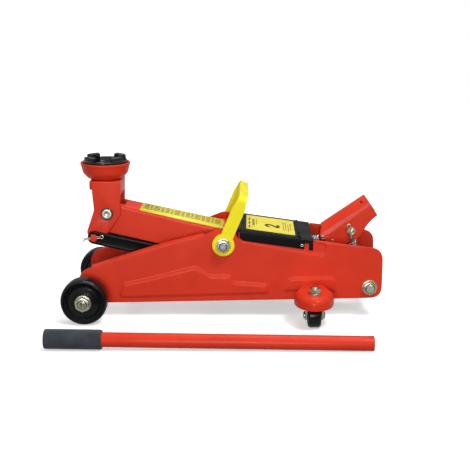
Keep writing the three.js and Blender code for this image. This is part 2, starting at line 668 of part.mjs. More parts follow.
/** Folded channel that narrows to the front, with its pivot sleeve and the two heel plates. */
function liftArm() {
  const front = -ARM_LENGTH - ARM_NOSE;
  const rings = [channelRing(ARM_TAIL, ARM_HALF_REAR), channelRing(front, ARM_HALF_FRONT)];
  const section = rings[0].map((point) => new THREE.Vector2(point.y, point.z));
  const sideView = slab(rounded([
    [ARM_TAIL, ARM_TOP + 0.5, 17], [front, ARM_TOP + 0.5, 15],
    [front, -ARM_BOTTOM - 0.5, 19], [ARM_TAIL, -ARM_BOTTOM - 0.5, 17],
  ]), -60, 60, 3);
  const channel = toGeometry(toSolid(loft(rings, section)).intersect(toSolid(sideView)));
  const sleeveEnd = FRAME_INNER - JOGGLE - GAP;
  const sleeve = bar(SLEEVE_RADIUS, -sleeveEnd, sleeveEnd);
  const heel = slab(eyebar(0, 0, 18, HEEL_REACH, -HEEL_DROP, 10.5), HEEL_INNER, HEEL_INNER + 6, 3);
  const mouthHalf = ARM_HALF_FRONT - ARM_SHEET;
  const cuts = [
    block(front - 5, -mouthHalf, -50, -ARM_LENGTH + ARM_MOUTH, mouthHalf, 30),
    bar(SHAFT_RADIUS + RUNNING, -70, 70),
    bar(HEAD_PIN_RADIUS + RUNNING, -70, 70).translate(-ARM_LENGTH, 0, 0),
    bar(HEEL_PIN + GAP, -70, 70).translate(HEEL_REACH, 0, -HEEL_DROP),
  ];
  return carve([channel, sleeve, heel, heel.clone().scale(1, -1, 1)], cuts);
}

function addArm() {
  const arm = station(PIVOT_X, PIVOT_Z, ARM_ANGLE);
  add(arm, 'lift_arm', liftArm(), redPaint);
  const heel = new THREE.Group();
  heel.position.set(HEEL_REACH, 0, -HEEL_DROP);
  arm.add(heel);
  add(heel, 'heel_pin', bar(HEEL_PIN, -HEEL_INNER - 8, HEEL_INNER + 8), steel);
  const roller = tube(HEEL_ROLLER, HEEL_PIN + RUNNING, -HEEL_INNER + GAP, HEEL_INNER - GAP);
  add(heel, 'heel_roller', roller, steel);

  const pivot = station(PIVOT_X, PIVOT_Z);
  const shoulder = FRAME_OUTER + 2 * GAP + STRAP_THICK;
  const end = shoulder + 11;
  add(pivot, 'pivot_shaft', turned([
    [0, -end], [PIVOT_THREAD, -end], [PIVOT_THREAD, -shoulder], [SHAFT_RADIUS, -shoulder],
    [SHAFT_RADIUS, shoulder], [PIVOT_THREAD, shoulder], [PIVOT_THREAD, end], [0, end],
  ]), steel);
  addPair(pivot, 'pivot_nut', nutAndWasher(16, PIVOT_THREAD + GAP, shoulder), zinc);
}

// ---------------------------------------------------------------- head, saddle and parallel rods
function headBracket() {
  const outer = HEAD_INNER + HEAD_SHEET;
  const cheekOutline = rounded([
    [-21, HEAD_TOP, 2], [-18, 5, 14], [-ROD_DROP_X - 10.5, -ROD_DROP_Z + 7, 8],
    [-ROD_DROP_X - 4, -ROD_DROP_Z - 9.5, 9], [-ROD_DROP_X + 8.5, -ROD_DROP_Z - 9, 9],
    [18.5, -2, 8], [19.6, HEAD_TOP, 2],
  ]);
  const cheek = slab(cheekOutline, HEAD_INNER, outer, 2);
  const top = block(-20.5, -outer + 0.5, HEAD_TOP - HEAD_SHEET, 19.2, outer - 0.5, HEAD_TOP - 0.2);
  const web = block(15.6, -outer + 0.5, 26, 19.2, outer - 0.5, HEAD_TOP - 1);
  const brow = block(-24, -outer + 5, HEAD_TOP - 13, -20, outer - 5, HEAD_TOP - 1);
  const foot = HEAD_TOP - 0.5;
  const rim = foot + BOWL_HEIGHT;
  const flare = [
    [BOWL_FOOT, foot], [BOWL_FOOT + 5, foot + 2], [BOWL_RIM - 5, foot + 9.5], [BOWL_RIM - 0.8, rim - 4],
  ];
  const lining = flare.slice(1).map(([r, z]) => [r - BOWL_WALL, z + BOWL_WALL / 2]);
  const bowl = turned([
    [0, foot], ...flare, [BOWL_RIM, rim], [BOWL_RIM - BOWL_WALL, rim],
    ...lining.reverse(), [BOWL_FOOT - 1, foot + BOWL_WALL], [0, foot + BOWL_WALL],
  ], 'z', 24).translate(BOWL_SHIFT, 0, 0);
  const holes = [
    bar(HEAD_PIN_RADIUS + RUNNING, -50, 50),
    bar(ROD_PIN_RADIUS + GAP, -50, 50).translate(-ROD_DROP_X, 0, -ROD_DROP_Z),
    bar(POST_RADIUS + RUNNING, 30, foot + 20, 'z').translate(BOWL_SHIFT, 0, 0),
  ];
  return carve([cheek, cheek.clone().scale(1, -1, 1), top, web, brow, bowl], holes);
}

/** Cast saddle: a dish on a post, with four lugs round its rim. */
function saddleCasting() {
  const floor = HEAD_TOP - 0.5 + BOWL_WALL + GAP;
  const rim = SADDLE_FLOOR + 6;
  const dish = turned([
    [0, HEAD_TOP - 9], [POST_RADIUS, HEAD_TOP - 9], [POST_RADIUS, floor], [17, floor],
    [22, floor + 3.5], [26.3, floor + 9.5], [29.6, rim - 3.5], [SADDLE_RIM, rim - 2], [SADDLE_RIM, rim],
    [SADDLE_RIM - 3, rim], [SADDLE_RIM - 4.6, SADDLE_FLOOR], [0, SADDLE_FLOOR],
  ], 'z', 24);
  const lugs = [45, 135, 225, 315].map((degrees) => {
    const middle = THREE.MathUtils.degToRad(degrees);
    const half = THREE.MathUtils.degToRad(LUG_SPREAD / 2);
    const sector = new THREE.Shape();
    sector.absarc(0, 0, SADDLE_RIM - 0.4, middle - half, middle + half, false);
    sector.absarc(0, 0, SADDLE_RIM - 10, middle + half * 0.9, middle - half * 0.9, true);
    sector.closePath();
    return layer(sector, SADDLE_FLOOR - 1, SADDLE_FLOOR + SADDLE_LUG_TOP, 2);
  });
  return carve([dish, ...lugs]);
}

function addHead() {
  const head = station(HEAD_X, HEAD_Z);
  add(head, 'head_bracket', headBracket(), redPaint);
  add(head, 'saddle', saddleCasting().translate(BOWL_SHIFT, 0, 0), castBlack);
  const clip = tube(POST_RADIUS + 3, POST_RADIUS + GAP, HEAD_TOP - 7, HEAD_TOP - 5, 'z');
  add(head, 'saddle_circlip', clip.translate(BOWL_SHIFT, 0, 0), steel);
  add(head, 'head_pin', bar(HEAD_PIN_RADIUS, -HEAD_INNER - 6, HEAD_INNER + 6), zinc);
  const reach = ROD_INNER + ROD_THICK + 4.5;
  const rodPin = bar(ROD_PIN_RADIUS, -reach, reach).translate(-ROD_DROP_X, 0, -ROD_DROP_Z);
  add(head, 'front_rod_pin', rodPin, redPaint);
}

function addRods() {
  const rods = station(ROD_REAR_X, ROD_REAR_Z, ARM_ANGLE);
  const outline = eyebar(0, 0, ROD_HEIGHT / 2, -ARM_LENGTH, 0, ROD_HEIGHT / 2);
  outline.holes.push(new THREE.Path().absarc(0, 0, ROD_STUD + RUNNING, 0, Math.PI * 2, true));
  const frontHole = ROD_PIN_RADIUS + 0.5;
  outline.holes.push(new THREE.Path().absarc(-ARM_LENGTH, 0, frontHole, 0, Math.PI * 2, true));
  addPair(rods, 'link_rod', slab(outline, ROD_INNER, ROD_INNER + ROD_THICK, 7), blackPaint);
  const shoulder = ROD_INNER + ROD_THICK + GAP;
  const stud = turned([
    [0, ROD_INNER - 0.6], [ROD_STUD, ROD_INNER - 0.6], [ROD_STUD, shoulder], [ROD_STUD + 4, shoulder],
    [ROD_STUD + 4, FRAME_INNER], [0, FRAME_INNER],
  ]);
  addPair(station(ROD_REAR_X, ROD_REAR_Z), 'rod_stud', stud, zinc);
}

// ---------------------------------------------------------------- hydraulic unit
function powerBlock() {
  const front = SOCKET_PIVOT_X - 14;
  const outline = rounded([
    [BLOCK_FRONT, BLOCK_BOTTOM, 3], [BLOCK_REAR, BLOCK_BOTTOM, 3], [BLOCK_REAR, BLOCK_TOP - 14, 4],
    [PUMP_X + 13, BLOCK_TOP, 3], [front, BLOCK_TOP, 3], [front, CYLINDER_Z + 26, 4],
    [BLOCK_FRONT, CYLINDER_Z + 26, 3],
  ]);
  const body = slab(outline, -BLOCK_HALF, BLOCK_HALF, 1);
  const footOutline = eyebar(BLOCK_REAR - 15, REAR_BOLT_Z + 8, 12, REAR_BOLT_X, REAR_BOLT_Z, 11);
  const foot = slab(footOutline, -BLOCK_HALF, BLOCK_HALF, 3);
  const bushEnd = FRAME_INNER - GAP;
  const bush = bar(10.5, -bushEnd, bushEnd).translate(REAR_BOLT_X, 0, REAR_BOLT_Z);
  const lugOutline = eyebar(SOCKET_PIVOT_X, BLOCK_TOP - 5, 12, SOCKET_PIVOT_X, SOCKET_PIVOT_Z, 9);
  const lug = slab(lugOutline, LUG_INNER, LUG_OUTER, 3);
  const cuts = [
    bar(REAR_BOLT_RADIUS + GAP, -70, 70).translate(REAR_BOLT_X, 0, REAR_BOLT_Z),
    bar(SOCKET_PIN + GAP, -70, 70).translate(SOCKET_PIVOT_X, 0, SOCKET_PIVOT_Z),
    bar(PLUNGER_RADIUS + RUNNING, BLOCK_BOTTOM + 6, BLOCK_TOP + 1, 'z').translate(PUMP_X, 0, 0),
    bar(VALVE_STEM + RUNNING, BLOCK_REAR - 6, BLOCK_REAR + 5, 'x').translate(0, 0, VALVE_Z),
  ];
  return carve([body, foot, bush, lug, lug.clone().scale(1, -1, 1)], cuts);
}

function addHydraulics() {
  const unit = station(0, 0);
  add(unit, 'power_block', powerBlock(), castBlack);
  const ramBore = RAM_RADIUS + RUNNING;
  const cylinder = tube(CYLINDER_RADIUS, ramBore, CYLINDER_FRONT, BLOCK_FRONT, 'x');
  add(unit, 'ram_cylinder', cylinder.translate(0, 0, CYLINDER_Z), steel);
  const tankInner = CYLINDER_RADIUS + 0.5;
  const tankOuter = CYLINDER_RADIUS + 7;
  const tank = turned([
    [tankInner, CYLINDER_FRONT + 6], [tankOuter - 3, CYLINDER_FRONT + 6], [tankOuter, CYLINDER_FRONT + 9],
    [tankOuter, BLOCK_FRONT], [tankOuter - 2.5, BLOCK_FRONT], [tankOuter - 2.5, CYLINDER_FRONT + 9],
    [tankInner, CYLINDER_FRONT + 9], [tankInner, CYLINDER_FRONT + 6],
  ], 'x');
  add(unit, 'oil_reservoir', tank.translate(0, 0, CYLINDER_Z), blackPaint);
  const gland = tube(CYLINDER_RADIUS - 1, ramBore, CYLINDER_FRONT - 6, CYLINDER_FRONT, 'x');
  add(unit, 'ram_gland', gland.translate(0, 0, CYLINDER_Z), steel);
  const padFront = HEEL_X + HEEL_ROLLER + RAM_PLAY;
  const padRear = padFront + RAM_PAD_THICK;
  const ram = turned([
    [0, padFront], [RAM_PAD - 1, padFront], [RAM_PAD, padFront + 1], [RAM_PAD, padRear],
    [RAM_RADIUS, padRear], [RAM_RADIUS, BLOCK_FRONT - RAM_SPARE], [0, BLOCK_FRONT - RAM_SPARE],
  ], 'x', 14);
  add(unit, 'ram', ram.translate(0, 0, CYLINDER_Z), steel);

  const pumpGland = nut(22, PLUNGER_RADIUS + RUNNING, BLOCK_TOP, BLOCK_TOP + 5, 'z');
  add(unit, 'pump_gland', pumpGland.translate(PUMP_X, 0, 0), zinc);
  const headTop = PUMP_PIN_Z - PUMP_ROLLER - PUMP_PLAY;
  const plunger = turned([
    [0, BLOCK_BOTTOM + 22], [PLUNGER_RADIUS, BLOCK_BOTTOM + 22], [PLUNGER_RADIUS, headTop - 3.2],
    [PLUNGER_RADIUS + 4, headTop - 3.2], [PLUNGER_RADIUS + 4, headTop - 0.8],
    [PLUNGER_RADIUS + 2, headTop], [0, headTop],
  ], 'z').translate(PUMP_X, 0, 0);
  add(unit, 'pump_plunger', plunger, steel);

  const knob = nut(15, 0, 0, 7).rotateZ(-Math.PI / 2).translate(BLOCK_REAR + 8, 0, 0);
  const stem = bar(VALVE_STEM, BLOCK_REAR - 5.5, BLOCK_REAR + 9, 'x');
  const blade = block(BLOCK_REAR + 14, -2.2, -7, BLOCK_REAR + 21, 2.2, 7);
  add(unit, 'release_valve', carve([knob, stem, blade]).translate(0, 0, VALVE_Z), zinc);

  const bolt = station(REAR_BOLT_X, REAR_BOLT_Z);
  const boltHead = nut(17, 0, FRAME_OUTER, FRAME_OUTER + 6);
  const shank = bar(REAR_BOLT_RADIUS, -FRAME_OUTER - 10.5, FRAME_OUTER + 2, 'y', 12);
  add(bolt, 'rear_bolt', carve([boltHead, shank]), zinc);
  const rearNut = nutAndWasher(16.5, REAR_BOLT_RADIUS + GAP, FRAME_OUTER);
  add(bolt, 'rear_nut', rearNut.scale(1, -1, 1), zinc);
}

// ---------------------------------------------------------------- handle socket
/** A tunnel section standing on the YZ plane: round top of `radius`, straight sides down to `floor`. */
function tunnel(radius, floor) {
  const shape = new THREE.Shape();
  shape.absarc(0, 0, radius, 0, Math.PI, false);
  shape.lineTo(-radius, floor);
  shape.lineTo(radius, floor);
  shape.closePath();
  return shape;
}

/** Folded yoke with a round top over the lever's bore; its own origin is the pivot on the power block. */
function socketCasting() {
  const along = new THREE.Vector2(Math.cos(SOCKET_ANGLE), Math.sin(SOCKET_ANGLE));
  const across = new THREE.Vector2(-along.y, along.x);
  const at = (a, b) => along.clone().multiplyScalar(a).addScaledVector(across, b);
  /** Turn a solid drawn along +X on the bore's axis into its place. */
  const aimed = (geometry) => {
    const centre = at(0, SOCKET_AXIS);
    return geometry.rotateY(-SOCKET_ANGLE).translate(centre.x, 0, centre.y);
  };
  const extruded = (shape, x0, x1) => {
    const settings = { depth: x1 - x0, bevelEnabled: false, curveSegments: 4 };
    const geometry = new THREE.ExtrudeGeometry(shape, settings);
    return geometry.rotateX(Math.PI / 2).rotateZ(Math.PI / 2).translate(x0, 0, 0);
  };
  const top = SOCKET_AXIS + SOCKET_HALF;
  const topRear = at(SOCKET_REACH, top + 1);
  const topFront = at(SOCKET_TOP_START, top + 1);
  const lowRear = at(SOCKET_REACH, SOCKET_AXIS - SOCKET_HALF);
  const pin = new THREE.Vector2(PUMP_X - SOCKET_PIVOT_X, PUMP_PIN_Z - SOCKET_PIVOT_Z);
  const side = new THREE.Shape();
  side.moveTo(topRear.x, topRear.y);
  side.lineTo(topFront.x, topFront.y);
  side.lineTo(-11, 6);
  side.lineTo(-10, 0);
  side.absarc(0, 0, 10, Math.PI, Math.PI * 1.5, false);
  side.lineTo(pin.x - 8, -7);
  side.quadraticCurveTo(pin.x + 8, -4, pin.x + 17, pin.y + 1);
  side.quadraticCurveTo(pin.x + 22, pin.y + 13, lowRear.x, lowRear.y);
  side.closePath();
  const outer = aimed(extruded(tunnel(SOCKET_HALF, -60), -40, SOCKET_REACH + 1));
  const inner = aimed(extruded(tunnel(SOCKET_HALF - SOCKET_SHEET, -70), -50, SOCKET_REACH + 5));
  const sideSlab = toSolid(slab(side, -SOCKET_HALF - 1, SOCKET_HALF + 1, 4));
  const shell = toGeometry(toSolid(outer).intersect(sideSlab).subtract(toSolid(inner)));
  const barrelStart = pin.dot(along) + PUMP_ROLLER + BARREL_GAP;
  const barrelRadius = SOCKET_HALF - SOCKET_SHEET + 0.6;
  const barrel = aimed(bar(barrelRadius, barrelStart, SOCKET_REACH - 1, 'x', 16));
  const setscrew = bar(SETSCREW_RADIUS, 5, 30, 'z', 10).rotateX(0.75).translate(SETSCREW_X, 0, 0);
  const holes = [
    aimed(bar(SOCKET_BORE, barrelStart - 1, SOCKET_REACH + 1, 'x', 16)),
    aimed(setscrew),
    bar(SOCKET_PIN + RUNNING, -60, 60),
    bar(PUMP_PIN + GAP, -60, 60).translate(pin.x, 0, pin.y),
  ];
  return carve([shell, barrel], holes);
}

function addSocket() {
  const socket = station(SOCKET_PIVOT_X, SOCKET_PIVOT_Z);
  add(socket, 'handle_socket', socketCasting(), redPaint);
  const reach = SOCKET_HALF + 4;
  add(socket, 'socket_pin', bar(SOCKET_PIN, -reach, reach), zinc);
  const pump = new THREE.Group();
  pump.position.set(PUMP_X - SOCKET_PIVOT_X, 0, PUMP_PIN_Z - SOCKET_PIVOT_Z);
  socket.add(pump);
  const clevis = turned([
    [0, -reach - 2], [PUMP_PIN, -reach - 2], [PUMP_PIN, SOCKET_HALF + GAP], [PUMP_PIN + 2, SOCKET_HALF + GAP],
    [PUMP_PIN + 2, SOCKET_HALF + 3], [0, SOCKET_HALF + 3],
  ]);
  add(pump, 'pump_pin', clevis, zinc);
  const rollerEnd = SOCKET_HALF - SOCKET_SHEET - 2;
  add(pump, 'pump_roller', tube(PUMP_ROLLER, PUMP_PIN + RUNNING, -rollerEnd, rollerEnd), steel);
}

// ---------------------------------------------------------------- carry handle and cover
function addCarryHandle() {
  const handle = station(PIVOT_X, PIVOT_Z, STRAP_LEAN);
  const inner = FRAME_OUTER + GAP;
  const outer = inner + STRAP_THICK;
  const under = STRAP_TOP - STRAP_THICK;
  const bow = rounded([
    [outer, 0], [outer, STRAP_TOP, STRAP_BEND], [-outer, STRAP_TOP, STRAP_BEND], [-outer, 0],
    [-inner, 0], [-inner, under, STRAP_BEND - STRAP_THICK], [inner, under, STRAP_BEND - STRAP_THICK],
    [inner, 0],
  ]);
  const strap = slab(bow, -STRAP_WIDTH / 2, STRAP_WIDTH / 2, 3).rotateZ(Math.PI / 2);
  const [wide, narrow] = [STRAP_WIDTH / 2, STRAP_GRIP_WIDTH / 2];
  const taper = new THREE.Shape([
    [-wide, -1], [wide, -1], [wide, STRAP_KNEE], [narrow, STRAP_TOP - 5], [narrow, STRAP_TOP + 1],
    [-narrow, STRAP_TOP + 1], [-narrow, STRAP_TOP - 5], [-wide, STRAP_KNEE],
  ].map(([x, z]) => new THREE.Vector2(x, z)));
  const tapered = toSolid(strap).intersect(toSolid(slab(taper, -outer - 1, outer + 1)));
  const eye = bar(STRAP_EYE, inner, outer, 'y', 24);
  const hole = bar(SHAFT_RADIUS + RUNNING, -80, 80);
  const bodies = [toGeometry(tapered), eye, eye.clone().scale(1, -1, 1)];
  add(handle, 'carry_handle', carve(bodies, [hole]), yellowPaint);
}

/** Cross-section of the cover at `x`: a shallow channel upside down. */
function coverRing(x) {
  const outer = FRAME_OUTER - JOGGLE + GAP + COVER_SHEET;
  const top = coverTopAt(x);
  const bend = 3;
  const section = [
    [outer, top - COVER_DROP], [outer, top - bend], [outer - 0.9, top - 0.9], [outer - bend, top],
    [-outer + bend, top], [-outer + 0.9, top - 0.9], [-outer, top - bend], [-outer, top - COVER_DROP],
    [-outer + COVER_SHEET, top - COVER_DROP], [-outer + COVER_SHEET, top - bend],
    [-outer + bend, top - COVER_SHEET], [outer - bend, top - COVER_SHEET],
    [outer - COVER_SHEET, top - bend], [outer - COVER_SHEET, top - COVER_DROP],
  ];
  return section.map(([y, z]) => new THREE.Vector3(x, y, z));
}

function addCover() {
  const rings = [coverRing(COVER_REAR_X), coverRing(COVER_FRONT_X)];
  const section = rings[0].map((point) => new THREE.Vector2(point.y, point.z));
  const low = coverTopAt(COVER_FRONT_X) - COVER_DROP;
  const corner = new THREE.Shape([
    new THREE.Vector2(COVER_FRONT_X - 5, low + 7.5),
    new THREE.Vector2(COVER_FRONT_X + 9, low - 2.5),
    new THREE.Vector2(COVER_FRONT_X - 5, low - 8),
  ]);
  const slotTop = coverTopAt(COVER_REAR_X - 9) - COVER_DROP + 9;
  const slot = block(COVER_REAR_X - 12, -70, 80, COVER_REAR_X - 5.5, 70, slotTop);
  add(jack, 'cover', carve([loft(rings, section)], [slab(corner, -70, 70), slot]), blackPaint);
}

// ---------------------------------------------------------------- lever
function addLever() {
  const length = LEVER_END_X - LEVER_GRIP_X;
  const lever = new THREE.Group();
  lever.position.set(LEVER_END_X, LEVER_Y, LEVER_RADIUS);
  lever.rotation.y = Math.atan((GRIP_RADIUS - LEVER_RADIUS) / (length - GRIP_LENGTH));
  jack.add(lever);
  const pipe = tube(LEVER_RADIUS, LEVER_RADIUS - LEVER_WALL, -length + 4, 0, 'x', 20);
  const slot = block(-8, -20, -2.6, 5, 20, 2.6);
  add(lever, 'lever', carve([pipe], [slot]), redPaint);
  const [start, end] = [-length, -length + GRIP_LENGTH];
  const bore = LEVER_RADIUS + GAP;
  const grip = turned([
    [0, start], [GRIP_RADIUS - 2, start], [GRIP_RADIUS, start + 2], [GRIP_RADIUS, end - 1.2],
    [GRIP_RADIUS - 1.2, end], [bore, end], [bore, start + 4 - GAP], [0, start + 4 - GAP],
  ], 'x', 20);
  add(lever, 'lever_grip', grip, foam);
}

// ---------------------------------------------------------------- the whole jack
addFrame();
addFrontWheels();
addCasters();
addArm();
addHead();
addRods();
addHydraulics();
addSocket();
addCarryHandle();
addCover();
addLever();

// The origin lies on the floor under the middle of everything, lever included.
jack.updateMatrixWorld(true);
const extent = new THREE.Box3().setFromObject(jack, true);
const middle = extent.getCenter(new THREE.Vector3());
jack.position.set(-middle.x, -middle.y, -extent.min.z);
jack.name = 'trolley_jack';

export default jack;
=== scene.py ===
"""Looks of a hydraulic trolley jack with its lever laid beside it.

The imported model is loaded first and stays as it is. Some of its solids only get a finish and
rounded edges; the turned, pressed and cast pieces are built again here in finer meshes that
stand for them. Sizes are in millimetres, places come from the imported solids' own boxes, and
everything is turned to metres when a mesh is made. -X is the saddle end, -Y the near side.
"""
import itertools
import json
import logging
import math
import sys
from collections.abc import Callable, Iterable, Sequence
from dataclasses import dataclass
from enum import Enum
from typing import Any

import bmesh
import bpy
from mathutils import Matrix, Vector
from mathutils.geometry import delaunay_2d_cdt

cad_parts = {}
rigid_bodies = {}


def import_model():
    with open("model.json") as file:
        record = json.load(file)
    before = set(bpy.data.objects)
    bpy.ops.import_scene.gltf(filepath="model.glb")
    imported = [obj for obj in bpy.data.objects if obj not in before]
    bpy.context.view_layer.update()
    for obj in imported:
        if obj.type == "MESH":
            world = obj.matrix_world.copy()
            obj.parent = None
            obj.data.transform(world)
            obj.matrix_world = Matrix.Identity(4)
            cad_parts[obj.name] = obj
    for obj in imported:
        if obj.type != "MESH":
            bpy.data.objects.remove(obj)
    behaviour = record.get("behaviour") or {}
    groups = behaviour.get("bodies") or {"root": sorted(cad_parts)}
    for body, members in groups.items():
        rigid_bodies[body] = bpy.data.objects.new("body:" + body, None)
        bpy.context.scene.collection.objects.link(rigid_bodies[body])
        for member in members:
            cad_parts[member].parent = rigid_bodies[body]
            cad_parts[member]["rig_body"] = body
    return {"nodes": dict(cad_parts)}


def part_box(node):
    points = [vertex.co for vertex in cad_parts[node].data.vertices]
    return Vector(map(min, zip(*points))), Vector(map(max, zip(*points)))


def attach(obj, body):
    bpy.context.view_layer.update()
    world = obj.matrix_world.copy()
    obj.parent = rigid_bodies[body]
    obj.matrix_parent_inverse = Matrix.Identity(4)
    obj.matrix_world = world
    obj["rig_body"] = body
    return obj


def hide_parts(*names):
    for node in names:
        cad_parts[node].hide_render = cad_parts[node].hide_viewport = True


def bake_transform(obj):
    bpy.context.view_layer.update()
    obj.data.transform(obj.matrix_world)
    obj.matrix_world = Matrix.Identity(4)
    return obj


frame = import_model()

log = logging.getLogger("jack")
MM = 0.001
# corners nearer to each other than this are one
SEAM = 0.02 * MM
Point = tuple[float, float]
Corner = tuple[float, float, float]
Socket = bpy.types.NodeSocket
Tree = bpy.types.NodeTree


class Side(Enum):
    """The two sides of the jack, with the sign of Y on each."""

    NEAR = -1
    FAR = 1

    @property
    def tag(self) -> str:
        """Ending of the names of the pieces on this side."""
        return self.name.lower()

    @property
    def out(self) -> "Way":
        """Direction away from the centre plane on this side."""
        return Way[self.name]


class Way(Enum):
    """Directions that a turned piece's own axis may point in."""

    UP = (0.0, 0.0, 1.0)
    REAR = (1.0, 0.0, 0.0)
    NEAR = (0.0, -1.0, 0.0)
    FAR = (0.0, 1.0, 0.0)


# ------------------------------------------------------------------ places
def reach(node: str) -> tuple[Vector, Vector]:
    """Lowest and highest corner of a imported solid, in millimetres."""
    low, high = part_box(node)
    return low / MM, high / MM


def centre(node: str) -> Vector:
    """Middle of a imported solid's box, in millimetres."""
    low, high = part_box(node)
    return (low + high) / (2 * MM)


MIDDLE_Y = (reach("side_plate_near")[0].y + reach("side_plate_far")[1].y) / 2
PIVOT = centre("pivot_shaft")
HEAD_PIN = centre("head_pin")
DATUM = Vector((PIVOT.x + 15.0, MIDDLE_Y, 0.0))
ARM_TILT = math.atan2(HEAD_PIN.z - PIVOT.z, PIVOT.x - HEAD_PIN.x)
# ends of the cover's top: place behind the datum, and height
COVER_FRONT = (6.0, 126.0)
COVER_REAR = (108.0, 111.8)


def body_of(node: str) -> str:
    """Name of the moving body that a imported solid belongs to."""
    return frame["nodes"][node]["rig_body"]


def on_axis(node: str) -> Vector:
    """Point where a solid's crosswise axis meets the centre plane."""
    spot = centre(node)
    return Vector((spot.x, MIDDLE_Y, spot.z))


def seat_of(node: str, way: Way) -> Vector:
    """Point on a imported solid's axis where it begins, looking along a direction."""
    low, high = reach(node)
    return centre(node) - Vector(way.value) * (abs((high - low).dot(Vector(way.value))) / 2)


def aimed(origin: Vector, way: Way) -> Matrix:
    """Placing of a piece drawn about its own Z, with that Z turned to a direction."""
    turn = Vector((0, 0, 1)).rotation_difference(Vector(way.value)).to_matrix().to_4x4()
    return Matrix.Translation(origin) @ turn


def tilted(origin: Vector, angle: float) -> Matrix:
    """Placing of a piece turned about Y, a positive angle lifting its -X end."""
    return Matrix.Translation(origin) @ Matrix.Rotation(angle, 4, "Y")


def on_side(origin: Vector, side: Side, inner: float) -> Matrix:
    """Placing of a sheet drawn in X and Z, its depth running out from its inner face."""
    axes = Matrix(((1, 0, 0, 0), (0, 0, side.value, 0), (0, 1, 0, 0), (0, 0, 0, 1)))
    return Matrix.Translation((origin.x, MIDDLE_Y + side.value * inner, origin.z)) @ axes


# ------------------------------------------------------------------ outlines
def arc(radius: float, start: float, end: float, steps: int,
        hub: Point = (0.0, 0.0)) -> list[Point]:
    """Points round a part of a circle, from one angle in radians to another."""
    turns = [start + (end - start) * k / steps for k in range(steps + 1)]
    return [(hub[0] + radius * math.cos(a), hub[1] + radius * math.sin(a)) for a in turns]


def circle(u: float, v: float, radius: float, steps: int = 32) -> list[Point]:
    """Points round a circle."""
    return arc(radius, 0.0, 2 * math.pi, steps, (u, v))[:-1]


def bezier(start: Point, bend: Point, end: Point, steps: int) -> list[Point]:
    """Points along a curve with one bend."""
    shares = [k / steps for k in range(steps + 1)]
    return [tuple(a * (1 - t) ** 2 + b * (2 * t * (1 - t)) + c * t**2
                  for a, b, c in zip(start, bend, end)) for t in shares]


def rectangle(low: Point, high: Point) -> list[Point]:
    """Corners of a rectangle."""
    return [low, (high[0], low[1]), high, (low[0], high[1])]


def sides(line: Sequence[Point]) -> Iterable[tuple[Point, Point]]:
    """The straight pieces of a closed line, each as its two ends."""
    return zip(line, (*line[1:], line[0]))


def flipped(half: Sequence[tuple[float, ...]]) -> list[tuple[float, ...]]:
    """The lower half of a turned profile, in the order that leads up to its upper half."""
    return [(r, -h, *soft) for r, h, *soft in reversed(half)]


def filleted(corners: Sequence[Corner], steps: int = 6, closed: bool = True) -> list[Point]:
    """Points of a line through corners, each rounded by its own radius.

    Args:
        corners: Corners as (u, v, radius).
        steps: Straight pieces in each rounded corner.
        closed: Whether the line returns to its first corner.

    Returns:
        The line's points in order.
    """
    points: list[Point] = []
    count = len(corners)
    for i, (u, v, radius) in enumerate(corners):
        here = Vector((u, v))
        before = Vector(corners[i - 1][:2]) - here
        after = Vector(corners[(i + 1) % count][:2]) - here
        room = 0.49 * min(before.length, after.length)
        before.normalize()
        after.normalize()
        half = math.acos(max(-1.0, min(1.0, before.dot(after)))) / 2
        is_end = not closed and i in (0, count - 1)
        if radius <= 0 or is_end or half > math.pi / 2 - 0.01:
            points.append((u, v))
            continue
        run = min(radius / math.tan(half), room)
        start, end = here + before * run, here + after * run
        for k in range(steps + 1):
            t = k / steps
            point = start * (1 - t) ** 2 + here * (2 * t * (1 - t)) + end * t**2
            points.append((point.x, point.y))
    return points


def softened(profile: Sequence[Point], radius: float = 0.5, closed: bool = False) -> list[Point]:
    """A turned profile with every corner off its axis slightly rounded."""
    corners = [(r, h, radius if r > 0 else 0.0) for r, h in profile]
    return filleted(corners, 3, closed)


def depth_in(line: Sequence[Point], u: float, v: float) -> float:
    """How deep a point lies inside a closed line.

    Args:
        line: The line's corners.
        u: First measure of the point.
        v: Second measure of the point.

    Returns:
        Its distance from the line, below nought where it is outside.
    """
    nearest = math.inf
    inside = False
    for (u0, v0), (u1, v1) in sides(line):
        du, dv = u1 - u0, v1 - v0
        long = du * du + dv * dv
        share = max(0.0, min(1.0, ((u - u0) * du + (v - v0) * dv) / long)) if long else 0.0
        nearest = min(nearest, math.hypot(u - u0 - share * du, v - v0 - share * dv))
        if (v0 > v) != (v1 > v) and u < u0 + (v - v0) / (v1 - v0) * du:
            inside = not inside
    return nearest if inside else -nearest


def evened(line: Sequence[Point], pitch: float) -> list[Point]:
    """Add corners to a closed line.

    Args:
        line: The line's corners.
        pitch: Length that no side of it is longer than afterwards.

    Returns:
        The line's old and new corners.
    """
    points = []
    for (u0, v0), (u1, v1) in sides(line):
        count = max(1, math.ceil(math.hypot(u1 - u0, v1 - v0) / pitch))
        points += [(u0 + (u1 - u0) * k / count, v0 + (v1 - v0) * k / count) for k in range(count)]
    return points


def drawn_in(line: Sequence[Point], margin: float) -> list[Point]:
    """Move a closed line inwards.

    Args:
        line: The line's corners.
        margin: How far each of them moves.

    Returns:
        As many corners, in the same order.
    """
    area = sum(u0 * v1 - u1 * v0 for (u0, v0), (u1, v1) in sides(line))
    shift = margin if area > 0 else -margin
    moved = []
    for i, (u, v) in enumerate(line):
        before, after = line[i - 1], line[(i + 1) % len(line)]
        along = Vector((after[0] - before[0], after[1] - before[1])).normalized()
        moved.append((u - along.y * shift, v + along.x * shift))
    return moved


